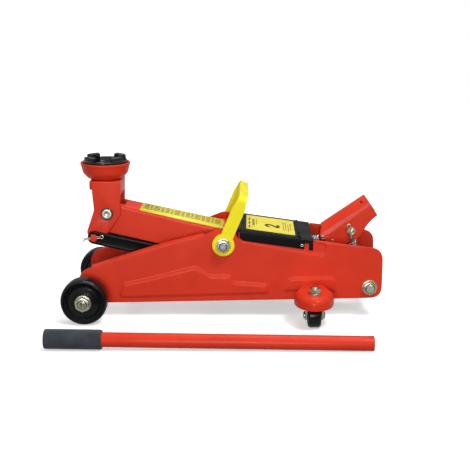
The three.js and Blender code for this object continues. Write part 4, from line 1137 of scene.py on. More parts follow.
# ------------------------------------------------------------------ frame and front wheels
@dataclass
class FrameSheets(Part):
    """The two pressed side plates and the bar that ties them in front.

    Lengths along the plate are counted from the datum line, heights from the floor.
    """

    outer: float = 55.5
    sheet: float = 3.5
    front: float = -216.0
    rear: float = 204.0
    low_front: float = 20.0
    low_rear: float = 29.5
    nose_top: float = 72.0
    rear_top: float = 101.0
    rear_corner: float = 17.0
    hump: float = 22.0
    hump_foot: float = 13.3
    cover_gap: float = 3.5
    lip: float = 13.0
    bend: float = 2.6
    raised: float = 2.1
    slope: float = 5.6
    step: float = 2.0
    pitch: float = 5.0
    border_pitch: float = 3.0
    border_room: float = 2.4
    holes: tuple[tuple[str, float], ...] = (
        ("front_axle_near", 7.35), ("pivot_shaft", 8.35), ("rear_bolt", 6.35))

    def __post_init__(self) -> None:
        """Work out the pivot's place and the pressed areas."""
        self.px, self.pz = PIVOT.x - DATUM.x, PIVOT.z
        caster = centre("caster_stud_near").x - DATUM.x
        long_panel = [
            (-149, self.low_front + 5.8 - self.pz, 16), (66, self.low_rear + 4 - self.pz, 6),
            (62, -55, 6), (14, -51.5, 5), (12, -42.5, 6), (-17, -42.5, 10), (-28, -35.5, 8),
            (-40, -30, 7), (-104, -47, 12), (-141, -55, 10),
        ]
        self.panels = [
            filleted([(self.px + u, self.pz + v, radius) for u, v, radius in long_panel], 8),
            filleted([(caster - 44, 37, 5), (caster + 34, 37, 5), (caster + 34, 61, 12),
                      (caster - 33, 59.5, 12)], 8),
        ]
        self.joggle = filleted([(6, 160, 0), (6, 109, 6), (128, 85.5, 12), (128, 160, 0)], 8)

    def cover_top(self, along: float) -> float:
        """Height of the cover's top over a place along the frame."""
        (front, front_top), (rear, rear_top) = COVER_FRONT, COVER_REAR
        return front_top - (front_top - rear_top) * (along - front) / (rear - front)

    def folded(self) -> list[tuple[Point, Vector, float]]:
        """Follow the front slope from the nose up to the hump.

        Returns:
            Its points, each with the direction out of the sheet and the fold's radius.
        """
        steps = 40
        points = bezier((self.front + 18, self.nose_top), (self.px - 94, self.pz - 1.5),
                        (self.px - 27, self.pz + self.hump_foot), steps)
        found = []
        for i, point in enumerate(points):
            ahead, behind = points[min(i + 1, steps)], points[max(i - 1, 0)]
            along = Vector((ahead[0] - behind[0], ahead[1] - behind[1])).normalized()
            share = i / steps
            found.append((point, Vector((-along.y, along.x)),
                          self.bend * min(1.0, 12 * share + 0.2, 12 * (1 - share) + 0.2)))
        return found

    def outline(self) -> list[Point]:
        """Draw the sheet's edge, drawn back by the fold along the front slope.

        Returns:
            Its corners in order.
        """
        front, rear, corner, low = self.front, self.rear, self.rear_corner, self.low_front
        points = bezier((front, low + 10), (front, low), (front + 10, low), 6)
        pace, rise = 13.6, 0.32
        points += [(front + 10 + k * pace, low + k * rise) for k in range(1, 29)]
        points += bezier((rear - corner, self.low_rear), (rear, self.low_rear),
                         (rear, self.low_rear + corner), 10)
        points += bezier((rear, self.rear_top - corner - 1), (rear, self.rear_top - 1.5),
                         (rear - corner, self.rear_top), 10)
        first, last = COVER_FRONT[0], COVER_REAR[0]
        points.append((last + 1, self.cover_top(last) - 1))
        points += [(u, self.cover_top(along) - self.cover_gap)
                   for u, along in ((last + 1, last), (60, 60), (first, first))]
        start = math.acos((first - self.px) / self.hump)
        end = math.pi - math.asin(self.hump_foot / self.hump) - 0.5
        points += arc(self.hump, start, end, 12, (self.px, self.pz))
        points += [(u - out.x * radius, v - out.y * radius)
                   for (u, v), out, radius in reversed(self.folded())]
        return points + bezier((front + 16.5, self.nose_top - 1.5), (front, self.nose_top - 6),
                               (front, self.nose_top - 22), 8)

    def rolled(self, line: Sequence[Point], u: float, v: float) -> float:
        """Share of a pressed area's full height at one place, its border rolled smooth."""
        share = max(0.0, min(1.0, depth_in(line, u, v) / self.slope))
        return share * share * (3 - 2 * share)

    def height(self, u: float, v: float) -> float:
        """How far the outer face stands out or in at one place."""
        return (self.raised * max(self.rolled(panel, u, v) for panel in self.panels)
                - self.step * self.rolled(self.joggle, u, v))

    def filling(self, edge: Sequence[Point]) -> list[Point]:
        """Fill the sheet with corners: an even grid, and close rows along pressed borders.

        Args:
            edge: The sheet's edge.

        Returns:
            The corners that lie well inside it.
        """
        found = []
        pressed = (*self.panels, self.joggle)
        margins = [-1.0, *(self.slope * k / 8 for k in range(9)), self.slope + 1.2]
        room = self.border_room
        for line in pressed:
            for margin in margins:
                found += drawn_in(evened(line, self.border_pitch), margin)
        count_u = int((self.rear - self.front) / self.pitch)
        count_v = int((self.pz + 25 - self.low_front) / self.pitch)
        for i, j in itertools.product(range(count_u), range(count_v)):
            spot = (self.front + (i + 0.5 * (j % 2)) * self.pitch,
                    self.low_front + (j + 0.5) * self.pitch)
            if not any(-room < depth_in(line, *spot) < self.slope + room for line in pressed):
                found.append(spot)
        return [spot for spot in found if depth_in(edge, *spot) > 1.2]

    def blank(self) -> tuple[list[Vector], list[list[int]]]:
        """Cut the flat sheet to its outline and holes.

        Returns:
            Its corners and its triangles.
        """
        edge = self.outline()
        lines = [edge]
        for node, radius in self.holes:
            spot = centre(node)
            lines.append(circle(spot.x - DATUM.x, spot.z, radius, 28))
        corners: list[Vector] = []
        edges: list[tuple[int, int]] = []
        for line in lines:
            first, count = len(corners), len(line)
            corners += [Vector(point) for point in line]
            edges += [(first + k, first + (k + 1) % count) for k in range(count)]
        corners += [Vector(spot) for spot in self.filling(edge)
                    if all(depth_in(hole, *spot) < -1.0 for hole in lines[1:])]
        made = delaunay_2d_cdt(corners, edges, [], 2, 0.01)
        return made[0], made[2]

    def press(self, side: Side, corners: list[Vector], faces: list[list[int]]) -> None:
        """Press one side's sheet and fold its lip.

        Args:
            side: Side of the jack.
            corners: The flat sheet's corners.
            faces: The flat sheet's triangles.
        """
        place = on_side(DATUM, side, self.outer)
        shell = Shell()
        made = shell.ring(place @ Vector((c.x, c.y, self.height(c.x, c.y))) for c in corners)
        for face in faces:
            shell.mesh.faces.new([made[i] for i in face])
        rows = []
        for (u, v), out, radius in self.folded():
            row = [(u + out.x * (up - radius), v + out.y * (up - radius), back - radius)
                   for back, up in arc(radius, 0.0, math.pi / 2, 6)]
            rows.append([place @ Vector(spot) for spot in (*row, (u, v, -self.lip))])
        shell.skin(rows)
        bmesh.ops.remove_doubles(shell.mesh, verts=shell.mesh.verts, dist=SEAM)
        node = f"side_plate_{side.tag}"
        self.shop.stand_in(node, "pressed", facing(shell.data(), side.out), RED_ENAMEL,
                           edge=0.7, thickness=self.sheet)

    def build(self) -> None:
        """Press both plates and finish the tie bar."""
        blank = self.blank()
        for side in Side:
            self.press(side, *blank)
        self.shop.dress("front_tie", RED_ENAMEL, 0.8)


@dataclass
class FrontWheel(Part):
    """A moulded wheel on its shouldered bolt, held by a nut and washer."""

    side: Side
    radius: float = 32.0
    half_width: float = 12.5
    bore: float = 7.35
    head: float = 19.0
    head_high: float = 6.5
    shank: float = 7.0
    collar: float = 11.5
    frame_inner: float = 52.0
    frame_outer: float = 55.5
    wheel_inner: float = 69.0
    shoulder: float = 94.3
    thread: float = 5.5
    end: float = 104.8

    def wheel(self) -> None:
        """Hub, sunk web, rim bead and a crowned tread."""
        face = self.half_width
        half = [(self.bore, face, 0.4), (13.0, face, 0.8), (14.2, face - 1.6, 0.8),
                (20.6, face - 1.7, 0.4), (21.6, face - 2.9, 0.5), (22.8, face - 1.5, 0.5),
                (27.2, face - 1.3, 0.5), (28.0, face - 0.1, 0.5), (29.9, face - 0.2, 1.6),
                (31.3, face - 2.6, 1.6), (self.radius, face - 6.0, 3.0)]
        node = f"front_wheel_{self.side.tag}"
        shell = spun([*half, *flipped(half)], aimed(centre(node), self.side.out), 72, 4)
        self.shop.stand_in(node, "moulded", shell, HARD_RUBBER)

    def axle(self) -> None:
        """Bolt head inside the frame, collar, plain shank and threaded end."""
        node = f"front_axle_{self.side.tag}"
        place = aimed(on_axis(node), self.side.out)
        foot, inner = self.frame_inner - 1, self.wheel_inner - 0.3
        line = softened([(0, foot), (self.shank, foot), (self.shank, self.frame_outer),
                         (self.collar, self.frame_outer), (self.collar, inner),
                         (self.shank, inner), (self.shank, self.shoulder)], 0.4)
        shell = Shell().turn(line + threaded(self.thread, self.shoulder, self.end), place)
        shell.hexagon(self.head, 0, self.frame_inner - self.head_high, self.frame_inner - 0.02,
                      place)
        self.shop.stand_in(node, "turned", shell, ZINC)

    def build(self) -> None:
        """Build one side."""
        self.axle()
        self.wheel()
        nut = NutOnWasher(18, self.thread + 0.3)
        nut.build(self.shop, f"wheel_nut_{self.side.tag}", self.side.out)


# ------------------------------------------------------------------ casters
@dataclass
class Caster(Part):
    """A swivelling caster under its red pan."""

    side: Side
    stud: float = 5.0
    stud_foot: float = 35.4
    head: float = 9.0
    head_high: float = 3.0
    thread: float = 10.0
    race_bore: float = 5.35
    radius: float = 17.0
    pan_top: float = 49.0
    pan_rim: float = 31.0
    frame: float = 55.5
    waist: float = 84.0
    end: float = 124.0
    half_root: float = 19.0
    half_waist: float = 27.0
    shoulder: float = 10.0
    sheet: float = 2.6

    def row(self, margin: float, height: float) -> list[Vector]:
        """Follow the pan's wall from one end at the frame round to the other.

        Args:
            margin: How far outside the pan's plain outline.
            height: Height of the row.

        Returns:
            Its points.
        """
        slant = (self.half_waist - self.half_root) / (self.waist - self.frame)
        outs = [self.frame + (self.waist - self.frame) * k / 5 for k in range(5)]
        flank = [(self.half_root + slant * (out - self.frame) + margin, out) for out in outs]
        length = self.end - self.waist + margin
        nose = [((self.half_waist + margin) * x, self.waist + length * y)
                for x, y in arc(1, 0.0, math.pi, 32)]
        line = [*flank, *nose, *((-x, out) for x, out in reversed(flank))]
        spot = Vector((centre(f"caster_stud_{self.side.tag}").x, MIDDLE_Y, 0))
        return [spot + Vector((x, self.side.value * out, height)) for x, out in line]

    def pan(self) -> None:
        """Pressed hood over the caster: open below and behind, rolled down all round."""
        inset, low = -self.shoulder, self.pan_top - self.shoulder
        rows = [self.row(0.0, self.pan_rim), self.row(0.0, self.pan_rim + 3)]
        rows += [self.row(inset + across, low + up)
                 for across, up in arc(self.shoulder, 0.0, math.pi / 2, 8)]
        shell = Shell().skin(rows)
        shell.mesh.faces.new(shell.ring(rows[-1]))
        bmesh.ops.remove_doubles(shell.mesh, verts=shell.mesh.verts, dist=SEAM)
        node = f"caster_bracket_{self.side.tag}"
        self.shop.stand_in(node, "pressed", facing(shell.data(), Way.UP), RED_ENAMEL,
                           edge=0.6, thickness=self.sheet)

    def kingpin(self) -> None:
        """Headed stud, its ball race and the nut on top."""
        node = f"caster_stud_{self.side.tag}"
        spot = centre(node)
        place = aimed(Vector((spot.x, spot.y, 0)), Way.UP)
        low, seat = self.stud_foot, self.stud_foot + self.head_high
        stem = softened([(0, low), (self.head, low), (self.head, seat), (self.stud, seat),
                         (self.stud, self.pan_top)])
        stem += threaded(self.stud, self.pan_top, self.pan_top + self.thread, 1.25)
        self.shop.stand_in(node, "turned", Shell().turn(stem, place), ZINC)
        race = [(self.race_bore, 41.5, 0), (11, 41.5, 0.8), (13, 43.2, 1.0), (12.2, 46, 0.6),
                (self.race_bore, 46, 0)]
        node = f"caster_race_{self.side.tag}"
        self.shop.stand_in(node, "turned", spun(race, place, steps=4), ZINC)
        nut = NutOnWasher(14, self.stud + 0.3)
        nut.build(self.shop, f"caster_nut_{self.side.tag}", Way.UP)

    def roller(self) -> None:
        """Small moulded wheel on its riveted axle."""
        node = f"caster_wheel_{self.side.tag}"
        half = [(3.35, 9.5, 0), (6.4, 9.5, 0.5), (7.2, 8.2, 0.6), (12.0, 8.0, 0.8),
                (13.4, 9.0, 0.8), (14.8, 8.8, 0.8), (self.radius, 6.4, 2.0)]
        shell = spun([*half, *flipped(half)], aimed(centre(node), Way.REAR), 56, 4)
        self.shop.stand_in(node, "moulded", shell, HARD_RUBBER)
        node = f"caster_axle_{self.side.tag}"
        half = [(3, 12.6, 0), (5.2, 12.6, 0.3), (5.0, 14.0, 0.8), (3.0, 15.0, 1.0), (0, 15.0, 0)]
        shell = spun([*flipped(half), (3, 0, 0), *half], aimed(centre(node), Way.REAR), 32,
                     closed=False)
        self.shop.stand_in(node, "riveted", shell, BRIGHT_STEEL)

    def build(self) -> None:
        """Build one side."""
        self.pan()
        self.shop.dress(f"caster_fork_{self.side.tag}", ZINC, 0.5)
        self.kingpin()
        self.roller()


# ------------------------------------------------------------------ arm and rods
@dataclass
class LiftArm(Part):
    """Folded arm, its pivot shaft, the heel roller and the printed strip on its top."""

    top: float = 16.5
    shoulder: float = 60.7
    end: float = 71.7
    strip_front: float = -123.5
    strip_rear: float = -4.0
    nose: float = -182.0
    tail: float = 19.0
    half_nose: float = 21.5
    half_tail: float = 27.0
    bend: float = 6.0
    vinyl: float = 0.15
    lift: float = 0.25
    ink: Point = (0.3, 0.36)
    margins: Point = (5.0, 8.0)
    widths: tuple[float, ...] = (6.0, 3.4, 8.2, 4.6)
    rows: tuple[Point, ...] = ((-14.0, -11.4), (-6.4, -3.2), (2.0, 5.4), (10.6, 13.4))
    gap: float = 1.8

    def strip(self) -> None:
        """Yellow vinyl strip with plain printed bars, lapped over the arm's rounded edges."""
        place = tilted(PIVOT, ARM_TILT)
        ends = []
        for at in (self.strip_front, self.strip_rear):
            share = (at - self.nose) / (self.tail - self.nose)
            flat = self.half_nose + (self.half_tail - self.half_nose) * share - self.bend
            lap = arc(self.bend + self.lift, math.pi / 2, math.pi / 2 - 1, 6,
                      (flat, self.top - self.bend))
            section = [*((-y, z) for y, z in reversed(lap)), *lap]
            ends.append([place @ Vector((at, y, z)) for y, z in section])
        sheet = facing(Shell().skin(ends).data(), Way.UP)
        self.shop.piece("arm_label", sheet, VINYL, "arm", thickness=self.vinyl)
        lifted = place @ Matrix.Translation((0, 0, self.top))
        ink = Shell()
        at = self.strip_front + self.margins[0]
        for wide in itertools.cycle(self.widths):
            if at >= self.strip_rear - self.margins[1]:
                break
            for low, high in self.rows:
                ink.prism(rectangle((at, low), (at + wide, high)), *self.ink, lifted)
            at += wide + self.gap
        self.shop.piece("arm_label_print", ink, INK, "arm")

    def build(self) -> None:
        """Build the arm and what turns with it."""
        self.shop.dress("lift_arm", RED_ENAMEL, 0.8)
        half = softened([(8, 0), (8, self.shoulder)], 0.4)
        half += threaded(5, self.shoulder, self.end, 1.25)
        self.shop.turned("pivot_shaft", [*flipped(half), *half[1:]], BRIGHT_STEEL, soft=0)
        for side in Side:
            NutOnWasher(16, 5.3).build(self.shop, f"pivot_nut_{side.tag}", side.out)
        self.shop.turned("heel_pin", [(0, -22), (5, -22), (5, 22), (0, 22)], BRIGHT_STEEL)
        tyre = [(5.35, -13.7), (9, -13.7), (9, 13.7), (5.35, 13.7)]
        self.shop.turned("heel_roller", tyre, BRIGHT_STEEL, closed=True)
        self.strip()


@dataclass
class ParallelRods(Part):
    """Flat rods that keep the saddle level, on studs at the rear and one pin in front."""

    length: float = 167.0
    inner: float = 29.0
    thick: float = 4.0
    end: float = 9.0
    pin_reach: float = 37.5

    def rod(self, side: Side) -> None:
        """One rod with its stud, and the split pin at its front.

        Args:
            side: Side of the jack.
        """
        node, rod = f"rod_stud_{side.tag}", f"link_rod_{side.tag}"
        quarter = math.pi / 2
        outline = [*arc(self.end, -quarter, quarter, 20),
                   *arc(self.end, quarter, 3 * quarter, 20, (-self.length, 0))]
        holes = [circle(0, 0, 6.35), circle(-self.length, 0, 5.5)]
        flat = on_side(centre(node), side, self.inner) @ Matrix.Rotation(-ARM_TILT, 4, "Z")
        mesh = plate(outline, self.thick, flat, 0.7, holes)
        self.shop.stand_in(rod, "flat", mesh, BLACK_ENAMEL)
        shoulder = self.inner + self.thick + 0.3
        stud = softened([(0, 28.4), (6, 28.4), (6, shoulder), (10, shoulder), (10, 52), (0, 52)])
        shell = Shell().turn(stud, aimed(on_axis(node), side.out))
        self.shop.stand_in(node, "turned", shell, ZINC)
        SplitPin(25.0, 2.2, 0.75, 4.5).build(
            self.shop, f"rod_split_pin_{side.tag}", "front_rod_pin",
            (-1.5, side.value * (self.pin_reach - 2.2), 0), (-1, 0, -0.12), (-0.12, 0, 1))

    def build(self) -> None:
        """Build both rods and the pin that they share."""
        for side in Side:
            self.rod(side)
        end = self.pin_reach
        self.shop.turned("front_rod_pin", [(0, -end), (5, -end), (5, end), (0, end)], RED_ENAMEL,
                         soft=0.8)


# ------------------------------------------------------------------ head and saddle
@dataclass
class Head(Part):
    """Welded head: two cheeks, a top plate with its web, and the bowl that holds the saddle."""

    inner: float = 24.2
    sheet: float = 4.0
    top: float = 46.0
    foot: float = 45.5
    rod_x: float = -18.5
    rod_z: float = -33.0
    rim: float = 34.8
    bead: float = 19.6

    def cheeks(self) -> None:
        """Cut plates on both sides."""
        outline = filleted([
            (-21, self.top - 0.3, 2), (-18, 5, 14), (self.rod_x - 10.5, self.rod_z + 7, 8),
            (self.rod_x - 4, self.rod_z - 9.5, 9), (self.rod_x + 8.5, self.rod_z - 9, 9),
            (18.5, -2, 8), (19.6, self.top - 0.3, 2),
        ])
        holes = [circle(0, 0, 7.35), circle(self.rod_x, self.rod_z, 5.3)]
        for side in Side:
            place = on_side(HEAD_PIN, side, self.inner)
            mesh = plate(outline, self.sheet, place, 0.8, holes)
            self.shop.piece(f"head_cheek_{side.tag}", mesh, RED_ENAMEL, "head")

    def box(self) -> None:
        """Top plate, rear web and the small brow in front."""
        half = self.inner + self.sheet - 0.5
        up = Matrix.Translation(HEAD_PIN + Vector((0, 0, self.top - 4)))
        lid = filleted([(u, v, 3) for u, v in rectangle((-20.5, -half), (19.2, half))])
        self.shop.piece("head_lid", plate(lid, 3.8, up, 0.8), RED_ENAMEL, "head")
        axes = Matrix(((0, 0, 1, 0), (1, 0, 0, 0), (0, 1, 0, 0), (0, 0, 0, 1)))
        for name, start, low, wide, thick in (
            ("head_web", 15.6, 26.0, half, 3.6), ("head_brow", -24.0, 33.0, half - 4.5, 4.0),
        ):
            place = Matrix.Translation(HEAD_PIN + Vector((start, 0, 0))) @ axes
            line = filleted([(-wide, low, 2.5), (wide, low, 2.5), (wide, self.top - 1, 2),
                             (-wide, self.top - 1, 2)])
            self.shop.piece(name, plate(line, thick, place, 0.8), RED_ENAMEL, "head")

    def bowl(self) -> None:
        """Flared bowl turned in one piece, on a bead of weld."""
        axis = Vector((centre("saddle").x, MIDDLE_Y, HEAD_PIN.z + self.foot))
        shell = spun([
            (5.95, 0, 0), (19, 0, 0.8), (25, 1.8, 6), (31.6, 9.0, 9), (33.8, 18.8, 5),
            (self.rim, 21.2, 0.9), (self.rim, 23.3, 0.9), (32.4, 23.5, 0.7), (31.0, 20.5, 6),
            (28.2, 10.8, 8), (22.4, 3.6, 3), (5.95, 2.6, 0),
        ], aimed(axis, Way.UP), 72, 6)
        self.shop.piece("head_bowl", shell, RED_ENAMEL, "head", ("head_bracket",))
        path = [axis + Vector((x, y, 0.9)) for x, y in circle(0, 0, self.bead, 90)]
        bead = Shell().sweep(path, lambda share: 1.5 + 0.28 * math.sin(share * 2 * math.pi * 22),
                             10, closed=True)
        self.shop.piece("head_weld", bead, RED_ENAMEL, "head", crease=80)

    def build(self) -> None:
        """Build the head, its pin, and a dark ring of painted shade round each end of the pin."""
        self.cheeks()
        self.box()
        self.bowl()
        half = [(7, 30.2), (3.4, 30.2), (2.6, 29.2), (0, 28.6)]
        self.shop.turned("head_pin", [*flipped(half), *half], ZINC, soft=0.9)
        for side in Side:
            spot = HEAD_PIN + Vector((0, side.value * (self.inner + self.sheet + 0.2), 0))
            # painted shade: a thin dark ring round each pin end stands for the shadow in the gap
            # between pin and cheek
            ring = [(7.05, 0, 0), (8.7, 0, 0.2), (8.5, 1.0, 0.4), (7.05, 1.0, 0.3)]
            name = f"head_pin_clip_{side.tag}"
            self.shop.piece(name, spun(ring, aimed(spot, side.out)), CLIP_STEEL_AND_GAP_SHADE,
                            body_of("head_pin"))


@dataclass
class Saddle(Part):
    """Cast dish with four lugs on its rim, on a post held by a clip."""

    floor: float = 66.0
    rim: float = 30.6
    lug_top: float = 78.0
    lug_half: float = math.radians(20)
    lug_outer: float = 30.3
    lug_inner: float = 21.2
    lug_taper: float = 0.88
    lug_edge: float = 1.6
    clip_z: float = 39.0
    clip_thick: float = 2.0
    clip_inner: float = 5.9
    clip_outer: float = 8.6
    clip_gap: float = math.radians(34)

    def dish(self, place: Matrix) -> None:
        """Turned dish on its post.

        Args:
            place: Where its axis goes.
        """
        floor, sunk = self.floor, self.floor - 0.8
        shell = spun([
            (0, 37, 0), (5.6, 37, 0.6), (5.6, 48.4, 0.5), (17, 48.4, 1), (22, 51.9, 3),
            (26.3, 57.9, 4), (29.4, 68.3, 2), (self.rim, 70, 0.6), (self.rim, 72, 0.8),
            (27.4, 72, 0.9), (25.8, 66.6, 1.2), (17.2, floor, 0.4), (16.4, sunk, 0.3),
            (14.8, sunk, 0.3), (14.0, floor, 0.3), (0, floor, 0),
        ], place, 72, 4, closed=False)
        self.shop.stand_in("saddle", "dish", shell, CAST_IRON)

    def build(self) -> None:
        """Turn the dish, cast the lugs onto it and clip it in."""
        place = aimed(Vector((centre("saddle").x, MIDDLE_Y, HEAD_PIN.z)), Way.UP)
        self.dish(place)
        lifted = place @ Matrix.Translation((0, 0, self.floor - 1))
        narrow = self.lug_half * self.lug_taper
        for number in range(4):
            middle = (number + 0.5) * math.pi / 2
            line = arc(self.lug_outer, middle - self.lug_half, middle + self.lug_half, 12)
            line += arc(self.lug_inner, middle + narrow, middle - narrow, 12)
            mesh = plate(line, self.lug_top - self.floor + 1, lifted, self.lug_edge)
            self.shop.piece(f"saddle_lug_{number}", mesh, CAST_IRON, "saddle", crease=50)
        first, last = self.clip_gap, 2 * math.pi - self.clip_gap
        ring = arc(self.clip_outer, first, last, 28) + arc(self.clip_inner, last, first, 28)
        post = place @ Matrix.Translation((0, 0, self.clip_z))
        mesh = plate(ring, self.clip_thick, post, 0.25)
        self.shop.piece("saddle_post_clip", mesh, CLIP_STEEL_AND_GAP_SHADE, "saddle")
        self.shop.dress("saddle_circlip", CLIP_STEEL_AND_GAP_SHADE, 0.3)


# ------------------------------------------------------------------ hydraulic unit
@dataclass
class HydraulicUnit(Part):
    """Cast block with the ram cylinder, its oil tank, the pump and the release valve."""

    axis_z: float = 64.0
    pump_x: float = 164.0
    block_top: float = 79.0
    ram_bore: float = 11.35
    block_face: float = 104.0
    bolt_seat: float = 55.5

    def along(self, node: str, profile: Sequence[Corner], finish: Finish = BRIGHT_STEEL,
              closed: bool = True) -> None:
        """Turn a piece about the ram's axis, its heights counted from the datum line."""
        axis = aimed(DATUM + Vector((0, 0, self.axis_z)), Way.REAR)
        self.shop.stand_in(node, "turned", spun(profile, axis, 56, closed=closed), finish)

    def ram(self) -> None:
        """Cylinder, tank, gland and the ram with its pad."""
        bore, back = self.ram_bore, self.block_face
        self.along("ram_cylinder", [(bore, 34, 0), (17, 34, 0.6), (17, back, 0), (bore, back, 0)])
        self.along("oil_reservoir", [
            (17.5, 40, 0), (21, 40, 1), (24, 43, 3), (24, back, 0), (21.5, back, 0),
            (21.5, 43, 2), (17.5, 43, 0),
        ], BLACK_ENAMEL)
        self.along("ram_gland", [(bore, 28, 0.4), (16, 28, 0.8), (16, 34, 0), (bore, 34, 0)])
        front, rear = (corner.x - DATUM.x for corner in reach("ram"))
        self.along("ram", [
            (0, front, 0), (13, front, 0.8), (14, front + 1, 0.5), (14, front + 7, 0.6),
            (11, front + 7, 0.5), (11, rear, 0.6), (0, rear, 0),
        ], closed=False)

    def pump(self) -> None:
        """Gland nut, plunger with its head, and the spring that lifts it."""
        foot = DATUM + Vector((self.pump_x, 0, 0))
        place = aimed(foot, Way.UP)
        shell = Shell().hexagon(22, 6.35, self.block_top, self.block_top + 5, place)
        self.shop.stand_in("pump_gland", "nut", shell, ZINC)
        low, high = (corner.z for corner in reach("pump_plunger"))
        shell = spun([(0, low, 0), (6, low, 0.6), (6, high - 3.2, 0.4), (10, high - 3.2, 0.6),
                      (10, high - 0.8, 0.6), (8, high, 1.0), (0, high, 0)], place, closed=False)
        self.shop.stand_in("pump_plunger", "turned", shell, BRIGHT_STEEL)
        bottom, top = self.block_top + 5.1, high - 3.3
        spring = Spring(8.4, 6.5).build(self.shop, "pump_spring", bottom, top, place)
        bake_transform(spring)

    def rear_bolt(self) -> None:
        """Through bolt with its head on the far side and a nut on the near side."""
        spot, seat = on_axis("rear_bolt"), self.bolt_seat
        shank = softened([(0, -seat - 2), (6, -seat - 2), (6, seat)], 0.3)
        shell = Shell().turn(shank + threaded(6, seat, 66.0), aimed(spot, Way.NEAR))
        shell.hexagon(17, 0, seat, seat + 6, aimed(spot, Way.FAR))
        self.shop.stand_in("rear_bolt", "turned", shell, ZINC)
        NutOnWasher(16.5, 6.3).build(self.shop, "rear_nut", Way.NEAR)

    def build(self) -> None:
        """Build the unit."""
        self.shop.dress("power_block", CAST_IRON, 0.9)
        self.shop.dress("release_valve", ZINC, 0.5)
        self.ram()
        self.pump()
        self.rear_bolt()


@dataclass
class LeverSocket(Part):
    """Folded yoke that takes the lever, with its pins, the pump's roller and a return spring."""

    half: float = 16.0
    pin: float = 4.0
    spring_start: float = 107.5
    spring_end: float = 118.0
    spring_out: float = 19.5
    spring_z: float = 104.0

    def clevis(self) -> None:
        """The pump's pin with its head, washer and split pin."""
        spot, seat, head = on_axis("pump_pin"), self.half + 0.3, self.half + 3
        shell = spun([(0, -22, 0), (1.6, -22, 0.2), (1.9, -20.8, 0.2), (3.2, -21.4, 0.4),
                      (self.pin, -20.8, 0.5), (self.pin, seat, 0), (6.4, seat, 0.4),
                      (6.4, head, 1.0), (0, head, 0)], aimed(spot, Way.FAR), closed=False)
        self.shop.stand_in("pump_pin", "turned", shell, ZINC)
        for side in Side:
            SplitPin(14.0, 2.0, 0.85, 3.8).build(
                self.shop, f"socket_split_pin_{side.tag}", "socket_pin",
                (0, side.value * (self.half + 2.4), 0), (1, 0, -0.35), (0.35, 0, 1))
        bore, top = self.pin + 0.1, seat + 1.2
        ring = [(bore, seat, 0), (5.8, seat, 0.3), (5.8, top, 0.3), (bore, top, 0)]
        self.shop.piece("pump_pin_washer", spun(ring, aimed(spot, Way.NEAR)), ZINC,
                        body_of("pump_pin"))

    def spring(self) -> None:
        """Drawn wire spring between the cover's rear edge and the yoke."""
        foot = DATUM + Vector((0, -self.spring_out, self.spring_z))
        spring = Spring(5.2, 4.5).build(self.shop, "socket_spring", self.spring_start,
                                        self.spring_end, aimed(foot, Way.REAR))
        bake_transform(spring)

    def build(self) -> None:
        """Build the yoke's pins, clips and roller."""
        self.shop.dress("handle_socket", RED_ENAMEL, 0.9)
        pin = [(0, -20), (5, -20), (5, 20), (0, 20)]
        self.shop.turned("socket_pin", pin, RED_ENAMEL, soft=0.9)
        tyre = [(4.35, -10), (7, -10), (7, 10), (4.35, 10)]
        self.shop.turned("pump_roller", tyre, BRIGHT_STEEL, closed=True)
        self.clevis()
        self.spring()
        SplitPin(23.0, 2.6, 0.9, 4.0).build(self.shop, "pump_pin_split_pin", "pump_pin",
                                            (-0.6, -19.6, -3.0), (0.32, 0, -1), (1, 0, 0.32))


# ------------------------------------------------------------------ carry handle and cover
@dataclass
class CarryHandle(Part):
    """Yellow strap over the jack, its eyes on the arm's pivot."""

    edge: float = 1.0

    def build(self) -> None:
        """Finish the strap in yellow enamel with rolled edges."""
        self.shop.dress("carry_handle", YELLOW_ENAMEL, self.edge)


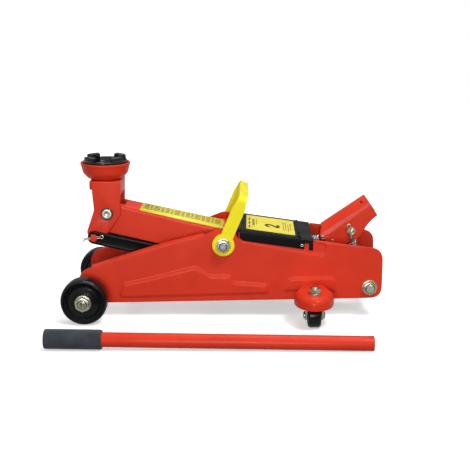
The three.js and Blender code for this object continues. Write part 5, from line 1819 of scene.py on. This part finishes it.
@dataclass
class Cover(Part):
    """Black cover plate over the hydraulic unit, with a label, a pressed step and rivets.

    Places on its top are counted behind the datum and outwards from the centre plane.
    """

    half: float = 55.0
    label_front: float = 16.0
    label_rear: float = 84.0
    label_half: float = 43.0
    ink: Point = (0.32, 0.4)
    numeral_at: Point = (53.5, -7.0)
    numeral_half: float = 2.2
    numeral_wide: float = 1.25
    blocks: tuple[tuple[float, float, float, float, int], ...] = (
        (19.5, 2.0, -34, 34, 3), (24.5, 3.4, -18, 22, 5), (29.8, 1.2, -10, 24, 4),
        (68.0, 1.2, -26, 24, 7), (71.4, 1.2, -22, 26, 6), (74.8, 1.2, -26, 18, 7),
        (78.2, 1.2, -20, 24, 5))
    inked: float = 0.62
    step_front: float = 87.6
    step_rear: float = 91.2
    step_high: float = 1.3
    across: tuple[float, ...] = (-52.0, -17.0, 17.0, 52.0)
    rivet: Point = (92.7, 104.1)

    def build(self) -> None:
        """Finish the cover, then lay its label and its small parts."""
        self.shop.dress("cover", BLACK_ENAMEL, 0.8)
        (front, front_top), (rear, rear_top) = COVER_FRONT, COVER_REAR
        slope = math.atan2(front_top - rear_top, rear - front)
        self.stretch = 1 / math.cos(slope)
        self.plane = tilted(DATUM + Vector((rear, 0, rear_top)), slope)
        self.label()
        self.numeral()
        self.lines()
        self.step()
        self.rivets()

    def at(self, x: float) -> float:
        """Distance along the cover's top from its rear edge, for a place behind the datum."""
        return (x - COVER_REAR[0]) * self.stretch

    def label(self) -> None:
        """Yellow vinyl label, its corners rounded."""
        low = (self.at(self.label_front), -self.label_half)
        high = (self.at(self.label_rear), self.label_half)
        line = filleted([(u, v, 2) for u, v in rectangle(low, high)])
        place = self.plane @ Matrix.Translation((0, 0, 0.02))
        mesh = plate(line, 0.3, place, 0.1)
        self.shop.piece("cover_label", mesh, VINYL, "frame")

    def numeral(self) -> None:
        """A plain numeral two, read from the jack's side with its top towards the front."""
        stroke = [(-6.0, 5.0), (-4.6, 8.0), (-1.2, 9.4), (2.8, 9.0), (5.2, 6.6), (5.0, 3.4),
                  (2.4, 0.2), (-2.2, -3.6), (-5.4, -7.4), (6.6, -7.4)]
        halfway = [((u0 + u1) / 2, (v0 + v1) / 2)
                   for (u0, v0), (u1, v1) in itertools.pairwise(stroke)]
        smooth = [stroke[0]]
        for k, bend in enumerate(stroke[2:-2]):
            smooth += bezier(halfway[k + 1], bend, halfway[k + 2], 4)
        smooth += stroke[-2:]
        middle = (self.at(self.numeral_at[0]), self.numeral_at[1])
        ink = Shell()
        for (u0, v0), (u1, v1) in itertools.pairwise(smooth):
            along = Vector((u1 - u0, v1 - v0)).normalized()
            side = Vector((-along.y, along.x)) * self.numeral_half
            start, end = Vector((u0, v0)) - along / 2, Vector((u1, v1)) + along / 2
            corners = [start + side, start - side, end - side, end + side]
            turned = [(middle[0] - v, middle[1] + self.numeral_wide * u) for u, v in corners]
            ink.prism(turned, *self.ink, self.plane)
        self.shop.piece("cover_numeral", ink, INK, "frame")

    def lines(self) -> None:
        """Plain printed bars on the label, in rows across it on both sides of the numeral."""
        ink = Shell()
        for start, wide, low, high, count in self.blocks:
            pitch = (high - low) / count
            for k in range(count):
                bar = rectangle((self.at(start), low + k * pitch),
                                (self.at(start + wide), low + (k + self.inked) * pitch))
                ink.prism(bar, *self.ink, self.plane)
        self.shop.piece("cover_lines", ink, INK, "frame")

    def step(self) -> None:
        """Low rounded rib pressed across the cover behind its label."""
        start, end = self.at(self.step_front), self.at(self.step_rear)
        rows = []
        for along, up in arc(1, math.pi, 0.0, 8):
            u = (start + end) / 2 + along * (end - start) / 2
            rows.append([self.plane @ Vector((u, v, self.step_high * up - 0.05))
                         for v in self.across])
        mesh = Shell().skin(rows)
        self.shop.piece("cover_rib", mesh, BLACK_ENAMEL, "frame", thickness=0.4)

    def rivets(self) -> None:
        """Pierced rivets through the cover's sides."""
        line = [(0.9, -1.0, 0), (2.3, -1.0, 0), (2.3, 0.5, 0.5), (1.6, 1.0, 0.4), (0.9, 0.4, 0.2)]
        for side in Side:
            spot = DATUM + Vector((self.rivet[0], side.value * self.half, self.rivet[1]))
            name = f"cover_rivet_{side.tag}"
            self.shop.piece(name, spun(line, aimed(spot, side.out), 24), ZINC, "frame")


# ------------------------------------------------------------------ lever
@dataclass
class Lever(Part):
    """Painted tube with a cross slot at one end and a foam sleeve at the other."""

    radius: float = 9.6
    wall: float = 1.8
    length: float = 419.0
    grip: float = 74.0
    grip_radius: float = 12.8
    grip_end: float = 4.0
    slot_deep: float = 8.0
    slot_half: float = 2.6

    def tube(self, place: Matrix) -> None:
        """Tube, its wall left as two halves along the slot.

        Args:
            place: Where its axis goes, with its slotted end at nought.
        """
        outer, inner, slot = self.radius, self.radius - self.wall, -self.slot_deep
        tip = self.grip_end - self.length
        tube = spun([(inner, tip, 0.3), (outer, tip, 0.5), (outer, slot, 0), (inner, slot, 0)],
                    place, 64)
        gap = math.asin(self.slot_half / outer)
        for start in (gap, math.pi + gap):
            end = start + math.pi - 2 * gap
            tube.prism(arc(outer, start, end, 24) + arc(inner, end, start, 24), slot, 0, place)
        self.shop.stand_in("lever", "tube", tube, RED_ENAMEL)

    def build(self) -> None:
        """Draw the tube, cut its slot and slide the sleeve on."""
        tilt = math.atan((self.grip_radius - self.radius) / (self.length - self.grip))
        spot = Vector((reach("lever")[1].x, centre("lever").y, self.radius))
        place = tilted(spot, tilt) @ aimed(Vector((0, 0, 0)), Way.REAR)
        self.tube(place)
        start, end = -self.length, self.grip - self.length
        wide, bore, stop = self.grip_radius, self.radius + 0.3, start + self.grip_end - 0.3
        shell = spun([
            (0, start, 0), (wide - 0.4, start, 2.4), (wide, start + 4, 3), (wide, end - 3, 2),
            (wide - 0.6, end, 1.4), (bore, end, 0.4), (bore, stop, 0), (0, stop, 0),
        ], place, 64, 5, closed=False)
        grip = self.shop.piece("lever_sleeve", shell, GRIP_FOAM, "lever",
                               ("lever_grip",))


# ------------------------------------------------------------------ studio
@dataclass
class Studio:
    """Pale floor, soft lamps and the camera."""

    focal: float = 985.0
    image: float = 470.0
    heading: float = math.radians(0.9)
    pitch: float = math.radians(13.9)
    distance: float = 1405.0
    aim_height: float = 104.8
    lamps: tuple[tuple[str, Corner, float, float], ...] = (
        ("key", (0.7, -1.0, 1.8), 0.4, 20), ("fill", (-0.2, -2.2, 0.3), 0.8, 22),
        ("top", (0.2, 0.3, 1.7), 1.0, 12))

    def camera(self) -> None:
        """Camera a little above the jack, looking at its near side."""
        target = Vector((DATUM.x, MIDDLE_Y, self.aim_height)) * MM
        look = Vector((-math.sin(self.heading) * math.cos(self.pitch),
                       math.cos(self.heading) * math.cos(self.pitch), -math.sin(self.pitch)))
        data = bpy.data.cameras.new("camera")
        data.angle = 2 * math.atan(self.image / 2 / self.focal)
        data.clip_end = 20
        made = shown("camera", data)
        made.location = target - look * self.distance * MM
        made.rotation_euler = look.to_track_quat("-Z", "Y").to_euler()
        bpy.context.scene.camera = made

    def floor(self) -> None:
        """Pale paper under the jack, running on behind it."""
        rows = [[Vector((x, y, 0)) for x in (-3000, 0, 3000)] for y in (-2600, 0, 2600)]
        mesh = Shell().skin(rows).data()
        mesh.materials.append(PAPER.made())
        floor = shown("floor", mesh)
        floor.location = (0, 0, -0.0002)

    def lamp(self, name: str, spot: Corner, size: float, power: float) -> None:
        """A square soft box aimed at the jack's middle.

        Args:
            name: Its name.
            spot: Its place in metres.
            size: Length of its side in metres.
            power: Its power in watts.
        """
        data = bpy.data.lights.new(name, "AREA")
        data.size = size
        data.energy = power
        made = shown(name, data)
        made.location = spot
        aim = Vector((0, 0, 0.08)) - Vector(spot)
        made.rotation_euler = aim.to_track_quat("-Z", "Y").to_euler()

    def world(self) -> None:
        """Pale surroundings: white for the camera, and for gloss brightest overhead."""
        world = bpy.data.worlds.new("studio")
        world.use_nodes = True
        tree = world.node_tree
        tree.nodes.clear()
        sky = add_node(tree, "ShaderNodeTexCoord").outputs["Generated"]
        up = measured(tree, "DOT_PRODUCT", sky, (0.0, -0.3, 0.9))
        levels = (0.36, ranged(tree, up, 0.1, 1.0, -0.4, 0.9), 1.0)
        fill, soft, white = (white_light(tree, "ShaderNodeBackground", level) for level in levels)
        rays = add_node(tree, "ShaderNodeLightPath").outputs
        gloss = maths(tree, "MAXIMUM", rays["Is Glossy Ray"], rays["Is Transmission Ray"])
        lit = add_node(tree, "ShaderNodeMixShader", {0: gloss, 1: fill, 2: soft}).outputs[0]
        both = add_node(tree, "ShaderNodeMixShader", {0: rays["Is Camera Ray"], 1: lit, 2: white})
        add_node(tree, "ShaderNodeOutputWorld", {"Surface": both.outputs[0]})
        bpy.context.scene.world = world

    def build(self) -> None:
        """Set the studio up."""
        bpy.context.scene.view_settings.view_transform = "Standard"
        self.camera()
        self.floor()
        self.world()
        for lamp in self.lamps:
            self.lamp(*lamp)


def main() -> None:
    """Build the studio and every sub-assembly, and log how many pieces were made."""
    logging.basicConfig(level=logging.INFO, format="%(message)s", stream=sys.stdout)
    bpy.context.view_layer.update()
    Studio().build()
    shop = Workshop()
    parts = (FrameSheets(shop), *(FrontWheel(shop, side) for side in Side),
             *(Caster(shop, side) for side in Side), LiftArm(shop), ParallelRods(shop), Head(shop),
             Saddle(shop), HydraulicUnit(shop), LeverSocket(shop), CarryHandle(shop), Cover(shop),
             Lever(shop))
    for part in parts:
        log.info("-- %s", type(part).__name__)
        part.build()
    log.info("%d pieces in all", shop.count)


if __name__ == "__main__":
    main()
